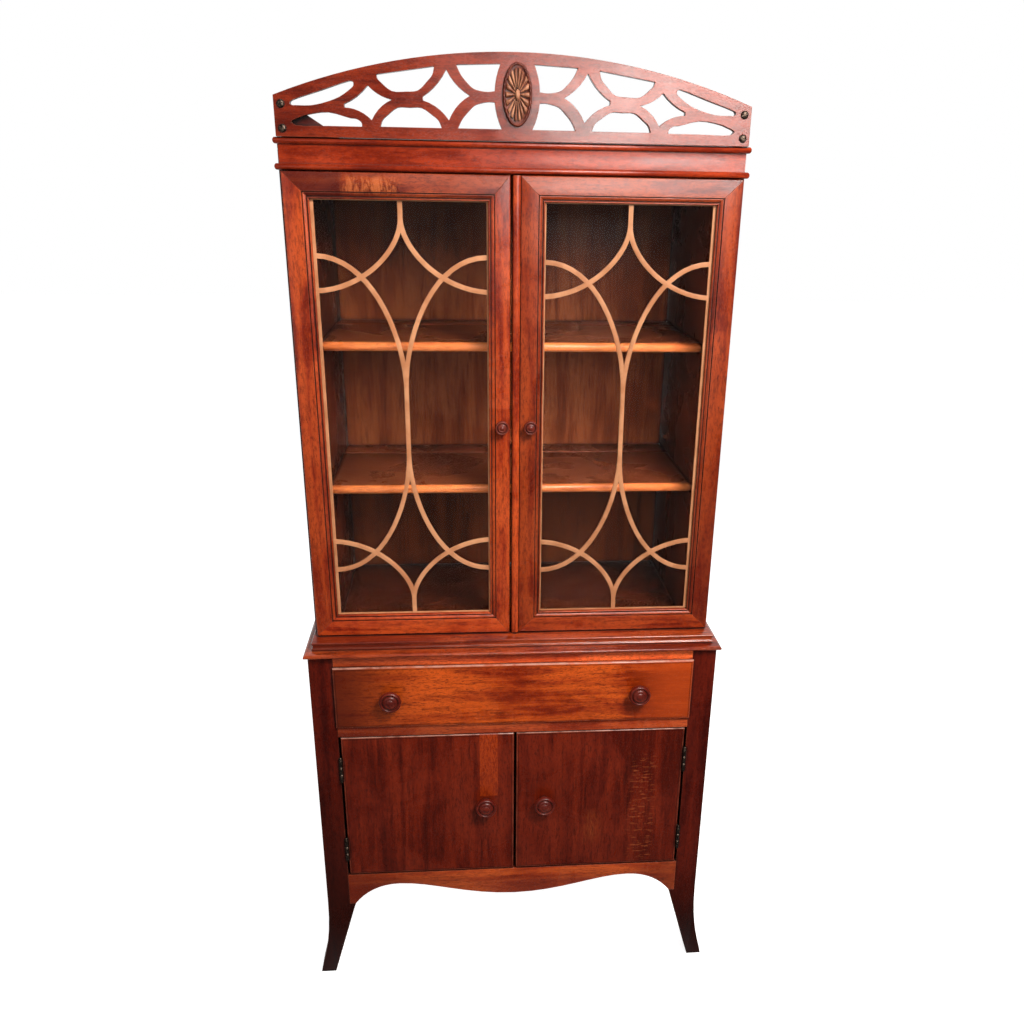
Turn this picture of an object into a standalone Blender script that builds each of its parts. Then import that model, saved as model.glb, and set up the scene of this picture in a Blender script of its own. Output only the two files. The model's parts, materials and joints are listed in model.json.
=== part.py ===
"""Display cabinet: a low cupboard with one drawer, and a glazed bookcase top under a pierced crest.

Lengths are metres and +Z is up. The front faces -Y, and left and right are the viewer's.
Heights are measured from the floor, and depths from the front plane of the corner posts.
"""

import math

import bmesh
import bpy
from mathutils import Vector
from mathutils.geometry import delaunay_2d_cdt, interpolate_bezier

# Gaps
SEAM = 0.0003  # between pieces that rest on each other
CUT_OVERRUN = 0.002

# Corner posts and their feet
POST_SPAN_HALF = 0.4065
POST_WIDTH = 0.0475
POST_DEPTH = 0.045
BASE_DEPTH = 0.435
FLARE_HEIGHT = 0.190
FLARE_OUT = 0.0262
FOOT_WIDTH = 0.032
KNEE_Z = 0.186
KNEE_STEP = 0.0125
KNEE_DROP = 0.012

# Heights of the lower case, from the floor up
APRON_TOP_Z = 0.2626
LOWER_DOOR_HEIGHT = 0.3384
LOWER_DOOR_GAP = 0.002
MID_RAIL_HEIGHT = 0.027
DRAWER_OPENING_HEIGHT = 0.128
TOP_RAIL_HEIGHT = 0.028

# Boards of the lower case
RAIL_THICKNESS = 0.022
SIDE_THICKNESS = 0.018
SIDE_RECESS = 0.003
FLOOR_THICKNESS = 0.015
DUST_BOARD_THICKNESS = 0.012
BASE_BACK_THICKNESS = 0.008
BASE_BACK_INSET = 0.0035

# Apron
APRON_SWEEP_INSET = 0.0125
APRON_RISE_Z = 0.2346
APRON_CENTRE_Z = 0.197
APRON_FLAT_X_SHARE = 0.72
APRON_HOLLOW_X_SHARES = (0.52, 0.30)

# Lower doors and their butt hinges
LOWER_DOOR_THICKNESS = 0.020
LOWER_DOOR_SIDE_GAP = 0.0045
LOWER_MEETING_GAP = 0.0045
LOWER_DOOR_ROUND = 0.0035
HINGE_HEIGHT = 0.050
HINGE_LEAF_THICKNESS = 0.0015
HINGE_KNUCKLE_RADIUS = 0.0035
HINGE_PIN_RADIUS = 0.0015
HINGE_PIN_PLAY = 0.0003
HINGE_AXIS_FORWARD = 0.0033
HINGE_LEAF_CLEARANCE = 0.0005
HINGE_TIP_HEIGHT = 0.005
LOWER_HINGE_END_LOW = 0.042
LOWER_HINGE_END_HIGH = 0.049

# Drawer
DRAWER_LIP_SIDE = 0.0016
DRAWER_LIP_UNDER = 0.003
DRAWER_LIP_OVER = 0.0034
DRAWER_LIP_THICKNESS = 0.0074
DRAWER_LIP_ROUND = 0.0045
DRAWER_FRONT_THICKNESS = 0.020
DRAWER_SIDE_PLAY = 0.0008
DRAWER_HEAD_PLAY = 0.003
DRAWER_SIDE_THICKNESS = 0.012
DRAWER_SIDE_HEIGHT = 0.119
DRAWER_BACK_DROP = 0.008
DRAWER_BOTTOM_THICKNESS = 0.006
DRAWER_BOTTOM_LIFT = 0.008
DRAWER_REAR_PLAY = 0.018

# Waist mouldings: the base top, and the bookcase's bottom board on it
BASE_TOP_THICKNESS = 0.010
BASE_TOP_SIDE_OVERHANG = 0.0066
BASE_TOP_FRONT_OVERHANG = 0.0137
BASE_TOP_OGEE_WIDTH = 0.0155
HUTCH_BASE_THICKNESS = 0.017
HUTCH_BASE_SETBACK = 0.0155
HUTCH_FASCIA_SETBACK = 0.002
BASE_TOP_RUN_SHARES = ((0.08, 0), (0, 0.14), (0, 0.40), (0.10, 0.56), (0.26, 0.66), (0.62, 0.80),
                       (0.90, 0.94), (1, 1))
HUTCH_BEAD_SHARES = ((0.25, 0), (0, 0.08), (0, 0.20), (0.25, 0.27), (1, 0.30), (1, 0.70),
                     (0.25, 0.73), (0, 0.80), (0, 0.92), (0.25, 1))

# Bookcase
CASE_SIDE_INSET = 0.012
CASE_SIDE_THICKNESS = 0.0425
CASE_BACK_THICKNESS = 0.008
CASE_BACK_INSET = 0.0005
HUTCH_TOP_THICKNESS = 0.018
SHELF_THICKNESS = 0.017
SHELF_TOPS_Z = (1.1012, 1.374)
SHELF_NAMES = ("shelf_lower", "shelf_upper")
SHELF_FRONT_SETBACK = 0.0484
SHELF_DADO_DEPTH = 0.006
SHELF_GROOVE_FROM_BACK = 0.062
SHELF_GROOVE_WIDTH = 0.010
SHELF_GROOVE_DEPTH = 0.003

# Upper doors, their mouldings, glass and pivots
UPPER_DOOR_FRONT = 0.0316
UPPER_DOOR_THICKNESS = 0.020
UPPER_DOOR_BACK_GAP = 0.002
UPPER_DOOR_FOOT_GAP = 0.0026
UPPER_DOOR_HEIGHT = 0.8419
UPPER_DOOR_HEAD_GAP = 0.0015
UPPER_DOOR_SIDE_INSET = 0.0055
UPPER_MEETING_HALF = 0.0068
MEETING_GAP = 0.0042
MEETING_BEAD_PROUD = 0.004
STILE_OUTER_WIDTH = 0.0428
STILE_INNER_WIDTH = 0.0419
DOOR_TOP_RAIL_HEIGHT = 0.0416
DOOR_BOTTOM_RAIL_HEIGHT = 0.0420
DOOR_MOULD_WIDTH = 0.011
DOOR_MOULD_DEPTH = 0.005
DOOR_MOULD_SHARES = ((0, 0.72), (0.07, 0.42), (0.20, 0.34), (0.32, 0.50), (0.38, 0.84), (0.50, 0.84),
                     (0.62, 0.55), (0.80, 0.25), (0.94, 0.16), (1, 0))
DOOR_ARRIS = 0.0012
DOOR_BACK_CHAMFER = 0.003
REBATE_WIDTH = 0.007
REBATE_SHOULDER = 0.0087
GLASS_THICKNESS = 0.003
PIVOT_INSET = 0.005
PIVOT_PIN_RADIUS = 0.00175
PIVOT_PIN_PLAY = 0.0003
PIVOT_PIN_LENGTH = 0.009
PIVOT_PLATE_RADIUS = 0.0055
PIVOT_PLATE_THICKNESS = 0.0008
PIVOT_HOLE_EXTRA_DEPTH = 0.001

# Tracery in front of the glass
FRET_THICKNESS = 0.004
FRET_BORDER_OUTER = 0.0052
FRET_BORDER_INNER = 0.0025
FRET_BORDER_END = 0.0015
FRET_BAR = 0.0082
FRET_CROSSING_REACH = 0.0664
FRET_HEIGHT_SHARES = {
    "apex": 0.925, "apex_turn": 0.793, "side_high": 0.760, "crossing": 0.674, "side_low": 0.6065,
    "merge_turn": 0.3964, "merge": 0.1586,
}
FRET_LIFTS = {"left": 0.0011, "right": -0.0054}

# Frieze between its two beads
FRIEZE_HEIGHT = 0.050
FRIEZE_SIDE_INSET = 0.003
FRIEZE_FRONT = 0.042
BEAD_HEIGHT = 0.0105
BEAD_PROUD = 0.0055
BEAD_SIDE_PROUD = 0.004
BEAD_ROOT = 0.004

# Crest, its carved oval, brace, block and screws
CREST_SIDE_INSET = 0.0025
CREST_HEIGHT = 0.131
CREST_END_HEIGHT = 0.0605
CREST_FRONT = 0.034
CREST_THICKNESS = 0.013
PATERA_HALF = 0.024
PATERA_HEIGHT_HALF = 0.0475
PATERA_CENTRE_RISE = 0.069
PATERA_THICKNESS = 0.010
BRACE_HEIGHT = 0.060
BRACE_LENGTH = 0.092
BRACE_END_INSET = 0.006
BRACE_THICKNESS = 0.018
BRACE_TOE_SHARE = 0.05
BLOCK_WIDTH = 0.014
SCREW_INSET = 0.0115
SCREW_RISES = (0.012, 0.048)
SCREW_NAMES = ("low", "high")
SCREW_HEAD_RADIUS = 0.0064
SCREW_HEAD_HEIGHT = 0.0035
SCREW_SHANK_RADIUS = 0.002
SCREW_HOLE_PLAY = 0.0004

# Knobs
SMALL_KNOB_RADIUS = 0.0128
SMALL_KNOB_LENGTH = 0.021
LARGE_KNOB_RADIUS = 0.022
LARGE_KNOB_LENGTH = 0.030
UPPER_KNOB_X = 0.026
UPPER_KNOB_Z = 1.234
DRAWER_KNOB_FROM_POST = 0.110
DRAWER_KNOB_Z = 0.6976
LOWER_KNOB_X = 0.0616
LOWER_KNOB_Z = 0.436

# Counts of sides and steps
KNOB_SIDES = 28
PIN_SIDES = 20
ROUND_STEPS = 4
CURVE_STEPS = 9
SOFT_STEPS = 3
ARCH_STEPS = 32
PATERA_SIDES = 40

# Unit shapes, scaled by named sizes
KNOB_SHARES = ((0.50, 0), (0.44, 0.10), (0.40, 0.24), (0.46, 0.36), (0.72, 0.46), (0.94, 0.55),
               (1, 0.66), (0.98, 0.76), (0.90, 0.86), (0.80, 0.90), (0.76, 0.86), (0.70, 0.88),
               (0.48, 0.97), (0.16, 1))
PATERA_SHARES = ((1, 0), (1, 0.30), (0.94, 0.46), (0.86, 0.40), (0.82, 0.30), (0.60, 0.62), (0.36, 0.72),
                 (0.20, 0.62), (0.17, 0.86), (0.10, 1), (0.03, 1))
SCREW_SHARES = ((1, 0), (0.96, 0.35), (0.72, 0.75), (0.38, 0.96), (0.08, 1))

# Openings of the crest: corner, then how far the edge to the next corner bows out, all as shares
# of half the crest's length, of its height, and of the edge itself, then 1 for a sharp corner
CREST_OPENING_SHARES = (
    ((0.933, 0.367, 0.20, 0), (0.922, 0.411, 0, 0), (0.692, 0.632, 0.12, 0), (0.673, 0.622, 0.20, 0),
     (0.680, 0.560, 0.06, 0), (0.788, 0.395, 0.05, 0), (0.911, 0.352, 0.12, 0)),
    ((0.645, 0.129, 0, 1), (0.916, 0.129, 0.12, 0), (0.932, 0.172, 0.03, 0), (0.871, 0.247, 0.09, 0),
     (0.694, 0.224, 0.10, 0), (0.650, 0.185, 0.12, 0)),
    ((0.615, 0.590, -0.06, 1), (0.714, 0.380, 0, 1), (0.714, 0.340, -0.10, 1), (0.604, 0.205, -0.09, 1),
     (0.518, 0.440, -0.08, 1)),
    ((0.578, 0.713, 0, 1), (0.342, 0.820, 0.12, 1), (0.372, 0.652, 0.16, 0), (0.461, 0.533, 0.16, 0),
     (0.563, 0.636, 0.12, 0)),
    ((0.570, 0.134, 0, 1), (0.316, 0.134, 0.12, 1), (0.355, 0.280, 0.14, 0), (0.448, 0.356, 0.15, 0),
     (0.537, 0.270, 0.12, 0)),
    ((0.293, 0.790, -0.07, 1), (0.391, 0.484, 0, 1), (0.391, 0.440, -0.09, 1), (0.285, 0.224, -0.09, 1),
     (0.196, 0.506, -0.08, 1)),
    ((0.252, 0.844, 0, 1), (0.070, 0.868, -0.05, 1), (0.094, 0.563, 0.05, 1), (0.150, 0.560, 0.11, 0),
     (0.208, 0.650, 0.06, 0)),
    ((0.248, 0.136, 0, 1), (0.064, 0.136, -0.05, 1), (0.094, 0.439, 0.05, 1), (0.143, 0.430, 0.11, 0),
     (0.202, 0.330, 0.06, 0)),
)

# Sizes that follow from the ones above
POST_INNER = POST_SPAN_HALF - POST_WIDTH
REAR_POST_FRONT = BASE_DEPTH - POST_DEPTH
SIDE_OUTER = POST_SPAN_HALF - SIDE_RECESS
SIDE_INNER = SIDE_OUTER - SIDE_THICKNESS
BASE_BACK_REAR = BASE_DEPTH - BASE_BACK_INSET
BASE_BACK_FRONT = BASE_BACK_REAR - BASE_BACK_THICKNESS
LOWER_DOOR_Z = APRON_TOP_Z + LOWER_DOOR_GAP
LOWER_DOOR_TOP_Z = LOWER_DOOR_Z + LOWER_DOOR_HEIGHT
MID_RAIL_Z = LOWER_DOOR_TOP_Z + LOWER_DOOR_GAP
DRAWER_OPENING_Z = MID_RAIL_Z + MID_RAIL_HEIGHT
TOP_RAIL_Z = DRAWER_OPENING_Z + DRAWER_OPENING_HEIGHT
CARCASS_TOP_Z = TOP_RAIL_Z + TOP_RAIL_HEIGHT
BASE_TOP_Z = CARCASS_TOP_Z + BASE_TOP_THICKNESS
BASE_TOP_HALF = POST_SPAN_HALF + BASE_TOP_SIDE_OVERHANG
APRON_SWEEP_HALF = POST_INNER - APRON_SWEEP_INSET
CASE_HALF = POST_SPAN_HALF - CASE_SIDE_INSET
CASE_INNER_HALF = CASE_HALF - CASE_SIDE_THICKNESS
UPPER_DOOR_OUTER_HALF = CASE_HALF - UPPER_DOOR_SIDE_INSET
FRIEZE_HALF = CASE_HALF - FRIEZE_SIDE_INSET
CREST_HALF = CASE_HALF - CREST_SIDE_INSET
HUTCH_FLOOR_Z = BASE_TOP_Z + HUTCH_BASE_THICKNESS
UPPER_DOOR_Z = HUTCH_FLOOR_Z + UPPER_DOOR_FOOT_GAP
UPPER_DOOR_TOP_Z = UPPER_DOOR_Z + UPPER_DOOR_HEIGHT
UPPER_DOOR_BACK = UPPER_DOOR_FRONT + UPPER_DOOR_THICKNESS
FRIEZE_Z = UPPER_DOOR_TOP_Z + UPPER_DOOR_HEAD_GAP
CASE_TOP_Z = FRIEZE_Z + FRIEZE_HEIGHT
CASE_FRONT = UPPER_DOOR_BACK + UPPER_DOOR_BACK_GAP
CASE_BACK_REAR = BASE_DEPTH - CASE_BACK_INSET
CASE_BACK_FRONT = CASE_BACK_REAR - CASE_BACK_THICKNESS
HUTCH_TOP_Z = CASE_TOP_Z - HUTCH_TOP_THICKNESS
CREST_Z = CASE_TOP_Z + SEAM
CREST_BACK = CREST_FRONT + CREST_THICKNESS
KNOB_REACH = LARGE_KNOB_LENGTH + SEAM
FRONT_MOST = -DRAWER_LIP_THICKNESS - KNOB_REACH
MIDDLE_DEPTH = (BASE_DEPTH + FRONT_MOST) / 2
LOWER_HINGE_X = POST_INNER - LOWER_DOOR_SIDE_GAP / 2
LOWER_DOOR_OUTER = POST_INNER - LOWER_DOOR_SIDE_GAP
DRAWER_KNOB_X = POST_INNER - DRAWER_KNOB_FROM_POST
UPPER_PIVOT_X = UPPER_DOOR_OUTER_HALF - PIVOT_INSET
UPPER_PIVOT_Y = UPPER_DOOR_BACK - PIVOT_INSET
SIDES = (("left", -1), ("right", 1))


# Scene and materials

def clear_scene():
    for old in list(bpy.data.objects):
        bpy.data.objects.remove(old, do_unlink=True)


def make_look(name, colour, roughness, metallic=0, transmission=0):
    look = bpy.data.materials.new(name)
    look.use_nodes = True
    shader = look.node_tree.nodes["Principled BSDF"]
    shader.inputs["Base Color"].default_value = (*colour, 1)
    shader.inputs["Roughness"].default_value = roughness
    shader.inputs["Metallic"].default_value = metallic
    shader.inputs["Transmission Weight"].default_value = transmission
    look.diffuse_color = (*colour, 1)
    return look


def make_looks():
    return {
        "dark": make_look("mahogany_dark", (0.105, 0.018, 0.007), 0.35),
        "light": make_look("mahogany_light", (0.260, 0.062, 0.016), 0.35),
        "frame": make_look("mahogany_frame", (0.190, 0.040, 0.012), 0.35),
        "inside": make_look("mahogany_inside", (0.150, 0.048, 0.017), 0.50),
        "lining": make_look("drawer_lining", (0.300, 0.140, 0.060), 0.60),
        "fret": make_look("fret_wood", (0.420, 0.170, 0.065), 0.45),
        "carved": make_look("carved_wood", (0.330, 0.120, 0.045), 0.45),
        "metal": make_look("dark_metal", (0.040, 0.028, 0.022), 0.40, metallic=1),
        "glass": make_look("window_glass", (0.95, 0.97, 0.96), 0.02, transmission=1),
    }


# Bodies: each is an empty on its joint's axis, and its pieces are placed from it

def make_body(name, place, parent=None):
    body = bpy.data.objects.new(name, None)
    body.location = Vector(place)
    if parent is not None:
        body.location = Vector(place) - Vector(parent["place"])
        body.parent = parent
    body["place"] = place
    bpy.context.scene.collection.objects.link(body)
    return body


def settle(name, mesh_data, look, body, is_helper=False):
    """Makes an object of a bmesh drawn in cabinet coordinates, with its origin at the mesh's middle."""
    bmesh.ops.recalc_face_normals(mesh_data, faces=mesh_data.faces[:])
    lows = [min(vert.co[axis] for vert in mesh_data.verts) for axis in range(3)]
    highs = [max(vert.co[axis] for vert in mesh_data.verts) for axis in range(3)]
    middle = (Vector(lows) + Vector(highs)) / 2
    bmesh.ops.translate(mesh_data, vec=-middle, verts=mesh_data.verts[:])
    mesh = bpy.data.meshes.new(name)
    mesh_data.to_mesh(mesh)
    mesh_data.free()
    piece = bpy.data.objects.new(name, mesh)
    piece.location = middle - Vector(body["place"])
    piece.parent = body
    bpy.context.scene.collection.objects.link(piece)
    if is_helper:
        piece.hide_render = True
        piece.display_type = "WIRE"
    else:
        mesh.materials.append(look)
    return piece


def combine(piece, helper, operation):
    step = piece.modifiers.new(operation.lower(), "BOOLEAN")
    step.operation = operation
    step.solver = "EXACT"
    step.object = helper


def shade_round(piece):
    piece.data.shade_smooth()
    piece.data.set_sharp_from_angle(angle=math.radians(40))


# Shapes

def stack(rings, loops=False):
    """Joins rings of equal count into one closed mesh, capped at both ends or closed on itself."""
    mesh_data = bmesh.new()
    rows = [[mesh_data.verts.new(point) for point in ring] for ring in rings]
    pairs = list(zip(rows, rows[1:]))
    if loops:
        pairs.append((rows[-1], rows[0]))
    for lower, upper in pairs:
        for here in range(len(lower)):
            after = (here + 1) % len(lower)
            mesh_data.faces.new((lower[here], lower[after], upper[after], upper[here]))
    if not loops:
        mesh_data.faces.new(rows[0])
        mesh_data.faces.new(list(reversed(rows[-1])))
    return mesh_data


def box(x_span, y_span, z_span):
    corners = ((0, 0), (1, 0), (1, 1), (0, 1))
    return stack([[(x_span[i], y_span[j], z) for i, j in corners] for z in z_span])


def prism_along_y(outline, y_span):
    return stack([[(x, y, z) for x, z in outline] for y in y_span])


def prism_along_x(outline, x_span):
    return stack([[(x, y, z) for y, z in outline] for x in x_span])


def prism_along_z(outline, z_span):
    return stack([[(x, y, z) for x, y in outline] for z in z_span])


def rectangle_at_y(x_span, z_span, inset, y):
    left, right = x_span[0] + inset, x_span[1] - inset
    low, high = z_span[0] + inset, z_span[1] - inset
    return [(left, y, low), (right, y, low), (right, y, high), (left, y, high)]


def round_steps(radius):
    """Insets and depths of a quarter round, from the front face back to the full outline."""
    angles = [math.pi / 2 * step / ROUND_STEPS for step in range(ROUND_STEPS + 1)]
    return [(radius * (1 - math.sin(angle)), radius * (1 - math.cos(angle))) for angle in angles]


def rounded_slab(x_span, z_span, front, back, radius):
    rings = [rectangle_at_y(x_span, z_span, inset, front + depth) for inset, depth in round_steps(radius)]
    rings.append(rectangle_at_y(x_span, z_span, 0, back))
    return stack(rings)


def circle(centre, radius, sides, level, axis, squash=1):
    """A ring of points about an axis: in plan for z, and facing the front for y."""
    points = []
    for step in range(sides):
        angle = 2 * math.pi * step / sides
        across = centre[0] + radius * math.cos(angle)
        other = centre[1] + radius * squash * math.sin(angle)
        points.append((across, other, level) if axis == "z" else (across, level, other))
    return points


def turned(centre, profile, sides, axis, squash=1):
    return stack([circle(centre, radius, sides, level, axis, squash) for radius, level in profile])


def tube(centre, inner, outer, z_span, sides):
    corners = ((inner, z_span[0]), (outer, z_span[0]), (outer, z_span[1]), (inner, z_span[1]))
    return stack([circle(centre, radius, sides, level, "z") for radius, level in corners], loops=True)


def curved(start, leave, arrive, end, steps=CURVE_STEPS):
    flat = [Vector((*point, 0)) for point in (start, leave, arrive, end)]
    return [(point.x, point.y) for point in interpolate_bezier(*flat, steps)]


def bowed(start, end, bow_share):
    """Points from start towards end, without the end, on an arc that rises by a share of its chord."""
    if bow_share == 0:
        return [start]
    chord = Vector(end) - Vector(start)
    rise = abs(bow_share) * chord.length
    radius = (chord.length ** 2 / 4 + rise ** 2) / (2 * rise)
    half_angle = 2 * math.atan2(2 * rise, chord.length)
    outward = Vector((-chord.y, chord.x)).normalized() * math.copysign(1, bow_share)
    middle = (Vector(start) + Vector(end)) / 2
    centre = middle + outward * (rise - radius)
    steps = 2 + round(CURVE_STEPS * half_angle)
    points = []
    for step in range(steps):
        angle = half_angle * (2 * step / steps - 1)
        point = centre + outward * radius * math.cos(angle) + chord.normalized() * radius * math.sin(angle)
        points.append((point.x, point.y))
    return points


def bow_middle(start, end, bow_share):
    """The middle of the arc that bowed() draws."""
    chord = Vector(end) - Vector(start)
    return (Vector(start) + Vector(end)) / 2 + Vector((-chord.y, chord.x)) * bow_share


def soft_slope(before, here, after, gap_before, gap_after):
    straight = (after - before) / (gap_before + gap_after)
    return (here - before) / gap_before - straight + (after - here) / gap_after


def soft_line(points, is_ring):
    """A smooth line through points, without its last point, or a ring through all of them."""
    places = [Vector(point) for point in points]
    if is_ring:
        places = [places[-1], *places, *places[:2]]
    else:
        places = [2 * places[0] - places[1], *places, 2 * places[-1] - places[-2]]
    line = []
    for before, start, end, after in zip(places, places[1:], places[2:], places[3:]):
        pairs = ((before, start), (start, end), (end, after))
        gaps = [math.sqrt((far - near).length) for near, far in pairs]
        leave = gaps[1] * soft_slope(before, start, end, gaps[0], gaps[1])
        arrive = gaps[1] * soft_slope(start, end, after, gaps[1], gaps[2])
        for step in range(SOFT_STEPS):
            t = step / SOFT_STEPS
            point = start * (2 * t ** 3 - 3 * t ** 2 + 1) + end * (3 * t ** 2 - 2 * t ** 3)
            point += leave * (t ** 3 - 2 * t ** 2 + t) + arrive * (t ** 3 - t ** 2)
            line.append((point.x, point.y))
    return line


def ribbon(path, width):
    """The outline of a bar of even width along a path."""
    left, right = [], []
    for index, point in enumerate(path):
        before = Vector(path[max(index - 1, 0)])
        after = Vector(path[min(index + 1, len(path) - 1)])
        along = (after - before).normalized()
        aside = Vector((-along.y, along.x)) * width / 2
        left.append(Vector(point) + aside)
        right.append(Vector(point) - aside)
    return [(point.x, point.y) for point in left + right[::-1]]


def counter_clockwise(outline):
    area = sum(a[0] * b[1] - b[0] * a[1] for a, b in zip(outline, outline[1:] + outline[:1]))
    return outline if area > 0 else outline[::-1]


def pierced(solids, holes, y_span):
    """One plate that covers every solid outline and no hole outline, through the given depth."""
    points, faces = [], []
    for outline in solids + holes:
        outline = counter_clockwise(list(outline))
        faces.append(list(range(len(points), len(points) + len(outline))))
        points.extend(Vector(point) for point in outline)
    spots, _, triangles, _, _, sources = delaunay_2d_cdt(points, [], faces, 0, SEAM / 100)
    kept = []
    for triangle, origins in zip(triangles, sources):
        inside = {origin for origin in origins if origin < len(solids)}
        cut = {origin for origin in origins if origin >= len(solids)}
        if inside and not cut:
            kept.append(triangle)
    mesh_data = bmesh.new()
    used = sorted({spot for triangle in kept for spot in triangle})
    front = {spot: mesh_data.verts.new((spots[spot][0], y_span[0], spots[spot][1])) for spot in used}
    back = {spot: mesh_data.verts.new((spots[spot][0], y_span[1], spots[spot][1])) for spot in used}
    edges = {}
    for triangle in kept:
        mesh_data.faces.new([front[spot] for spot in triangle])
        mesh_data.faces.new([back[spot] for spot in reversed(triangle)])
        for a, b in zip(triangle, triangle[1:] + triangle[:1]):
            key = frozenset((a, b))
            edges[key] = None if key in edges else (a, b)
    for edge in edges.values():
        if edge is not None:
            a, b = edge
            mesh_data.faces.new((front[b], front[a], back[a], back[b]))
    return mesh_data


def mirrored(outline, side):
    return [(x * side, z) for x, z in outline]


def span(side, near, far):
    """The x span of a piece between two distances from the middle, on the given side."""
    return (near, far) if side > 0 else (-far, -near)


# Lower case

def post_outline(has_knee):
    """Front view of a right-hand post: straight above, flaring out to the foot below."""
    flare = curved(
        (POST_SPAN_HALF, FLARE_HEIGHT),
        (POST_SPAN_HALF, FLARE_HEIGHT * 0.40),
        (POST_SPAN_HALF + FLARE_OUT * 0.76, FLARE_HEIGHT * 0.19),
        (POST_SPAN_HALF + FLARE_OUT, 0),
    )
    toe = POST_SPAN_HALF + FLARE_OUT - FOOT_WIDTH
    top = CARCASS_TOP_Z - SEAM
    if has_knee:
        knee = [
            (POST_INNER - KNEE_STEP + KNEE_DROP / 3, KNEE_Z - KNEE_DROP),
            (POST_INNER - KNEE_STEP, KNEE_Z),
            (POST_INNER, KNEE_Z),
        ]
    else:
        knee = [(POST_INNER, KNEE_Z)]
    return [(POST_SPAN_HALF, top), *flare, (toe, 0), *knee, (POST_INNER, top)]


def make_posts(looks, root):
    for side_name, side in SIDES:
        front = prism_along_y(mirrored(post_outline(True), side), (0, POST_DEPTH))
        settle(f"post_front_{side_name}", front, looks["dark"], root)
        rear = prism_along_y(mirrored(post_outline(False), side), (REAR_POST_FRONT, BASE_DEPTH))
        settle(f"post_rear_{side_name}", rear, looks["dark"], root)


def make_side_panels(looks, root):
    y_span = (POST_DEPTH + SEAM, REAR_POST_FRONT - SEAM)
    for side_name, side in SIDES:
        panel = box(span(side, SIDE_INNER, SIDE_OUTER), y_span, (APRON_RISE_Z, CARCASS_TOP_Z - SEAM))
        settle(f"side_panel_{side_name}", panel, looks["dark"], root)


def make_base_back(looks, root):
    half = POST_INNER - SEAM
    back = box((-half, half), (BASE_BACK_FRONT, BASE_BACK_REAR), (APRON_RISE_Z, CARCASS_TOP_Z - SEAM))
    settle("base_back", back, looks["inside"], root)


def make_rails(looks, root):
    half = POST_INNER - SEAM
    top = box((-half, half), (0, RAIL_THICKNESS), (TOP_RAIL_Z, CARCASS_TOP_Z - SEAM))
    settle("top_rail", top, looks["light"], root)
    mid = box((-half, half), (0, RAIL_THICKNESS), (MID_RAIL_Z, DRAWER_OPENING_Z))
    settle("mid_rail", mid, looks["light"], root)


def apron_edge():
    """Lower edge of the apron's right half, from the middle out to the knee."""
    half = APRON_SWEEP_HALF
    flat_x = half * APRON_FLAT_X_SHARE
    shoulder_x, dip_x = (half * share for share in APRON_HOLLOW_X_SHARES)
    low = KNEE_Z + SEAM
    dip, shoulder = (dip_x, APRON_CENTRE_Z), (shoulder_x, APRON_RISE_Z)
    inner = curved((0, APRON_CENTRE_Z), dip, shoulder, (flat_x, APRON_RISE_Z))
    outer = curved(
        (flat_x, APRON_RISE_Z),
        (half * 0.85, APRON_RISE_Z + SEAM),
        (half * 0.94, APRON_RISE_Z - (APRON_RISE_Z - low) * 0.42),
        (half, low),
    )
    return inner + outer[1:]


def make_apron(looks, root):
    edge = apron_edge()
    end = POST_INNER - SEAM
    right = edge + [(end, KNEE_Z + SEAM), (end, APRON_TOP_Z)]
    left = [(-x, z) for x, z in reversed(edge[1:])]
    outline = [(-end, KNEE_Z + SEAM), *left, *right, (-end, APRON_TOP_Z)]
    settle("apron", prism_along_y(outline, (0, RAIL_THICKNESS)), looks["light"], root)


def board_between_posts():
    """Plan of a board that fills the lower case and is notched round its four posts."""
    narrow = POST_INNER - SEAM
    wide = SIDE_INNER - SEAM
    front, back = RAIL_THICKNESS + SEAM, BASE_BACK_FRONT - SEAM
    notch_front, notch_back = POST_DEPTH + SEAM, REAR_POST_FRONT - SEAM
    right = [
        (narrow, front),
        (narrow, notch_front),
        (wide, notch_front),
        (wide, notch_back),
        (narrow, notch_back),
        (narrow, back),
    ]
    return right + [(-x, y) for x, y in reversed(right)]


def make_inner_boards(looks, root):
    plan = board_between_posts()
    floor = prism_along_z(plan, (APRON_TOP_Z - FLOOR_THICKNESS, APRON_TOP_Z))
    settle("cupboard_floor", floor, looks["inside"], root)
    dust = prism_along_z(plan, (DRAWER_OPENING_Z - DUST_BOARD_THICKNESS, DRAWER_OPENING_Z))
    settle("dust_board", dust, looks["inside"], root)


# Waist mouldings

def waist_ring(setback, z):
    half = BASE_TOP_HALF - setback
    front = setback - BASE_TOP_FRONT_OVERHANG
    return [(-half, front, z), (half, front, z), (half, BASE_DEPTH, z), (-half, BASE_DEPTH, z)]


def make_base_top(looks, root):
    rings = [
        waist_ring(BASE_TOP_OGEE_WIDTH * run_share, CARCASS_TOP_Z + BASE_TOP_THICKNESS * rise_share)
        for run_share, rise_share in BASE_TOP_RUN_SHARES
    ]
    settle("base_top", stack(rings), looks["dark"], root)


def make_hutch_base(looks, root):
    low = BASE_TOP_Z + SEAM
    height = HUTCH_FLOOR_Z - low
    rings = [
        waist_ring(HUTCH_BASE_SETBACK + HUTCH_FASCIA_SETBACK * run_share, low + height * rise_share)
        for run_share, rise_share in HUTCH_BEAD_SHARES
    ]
    settle("hutch_base", stack(rings), looks["light"], root)


# Bookcase

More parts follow.
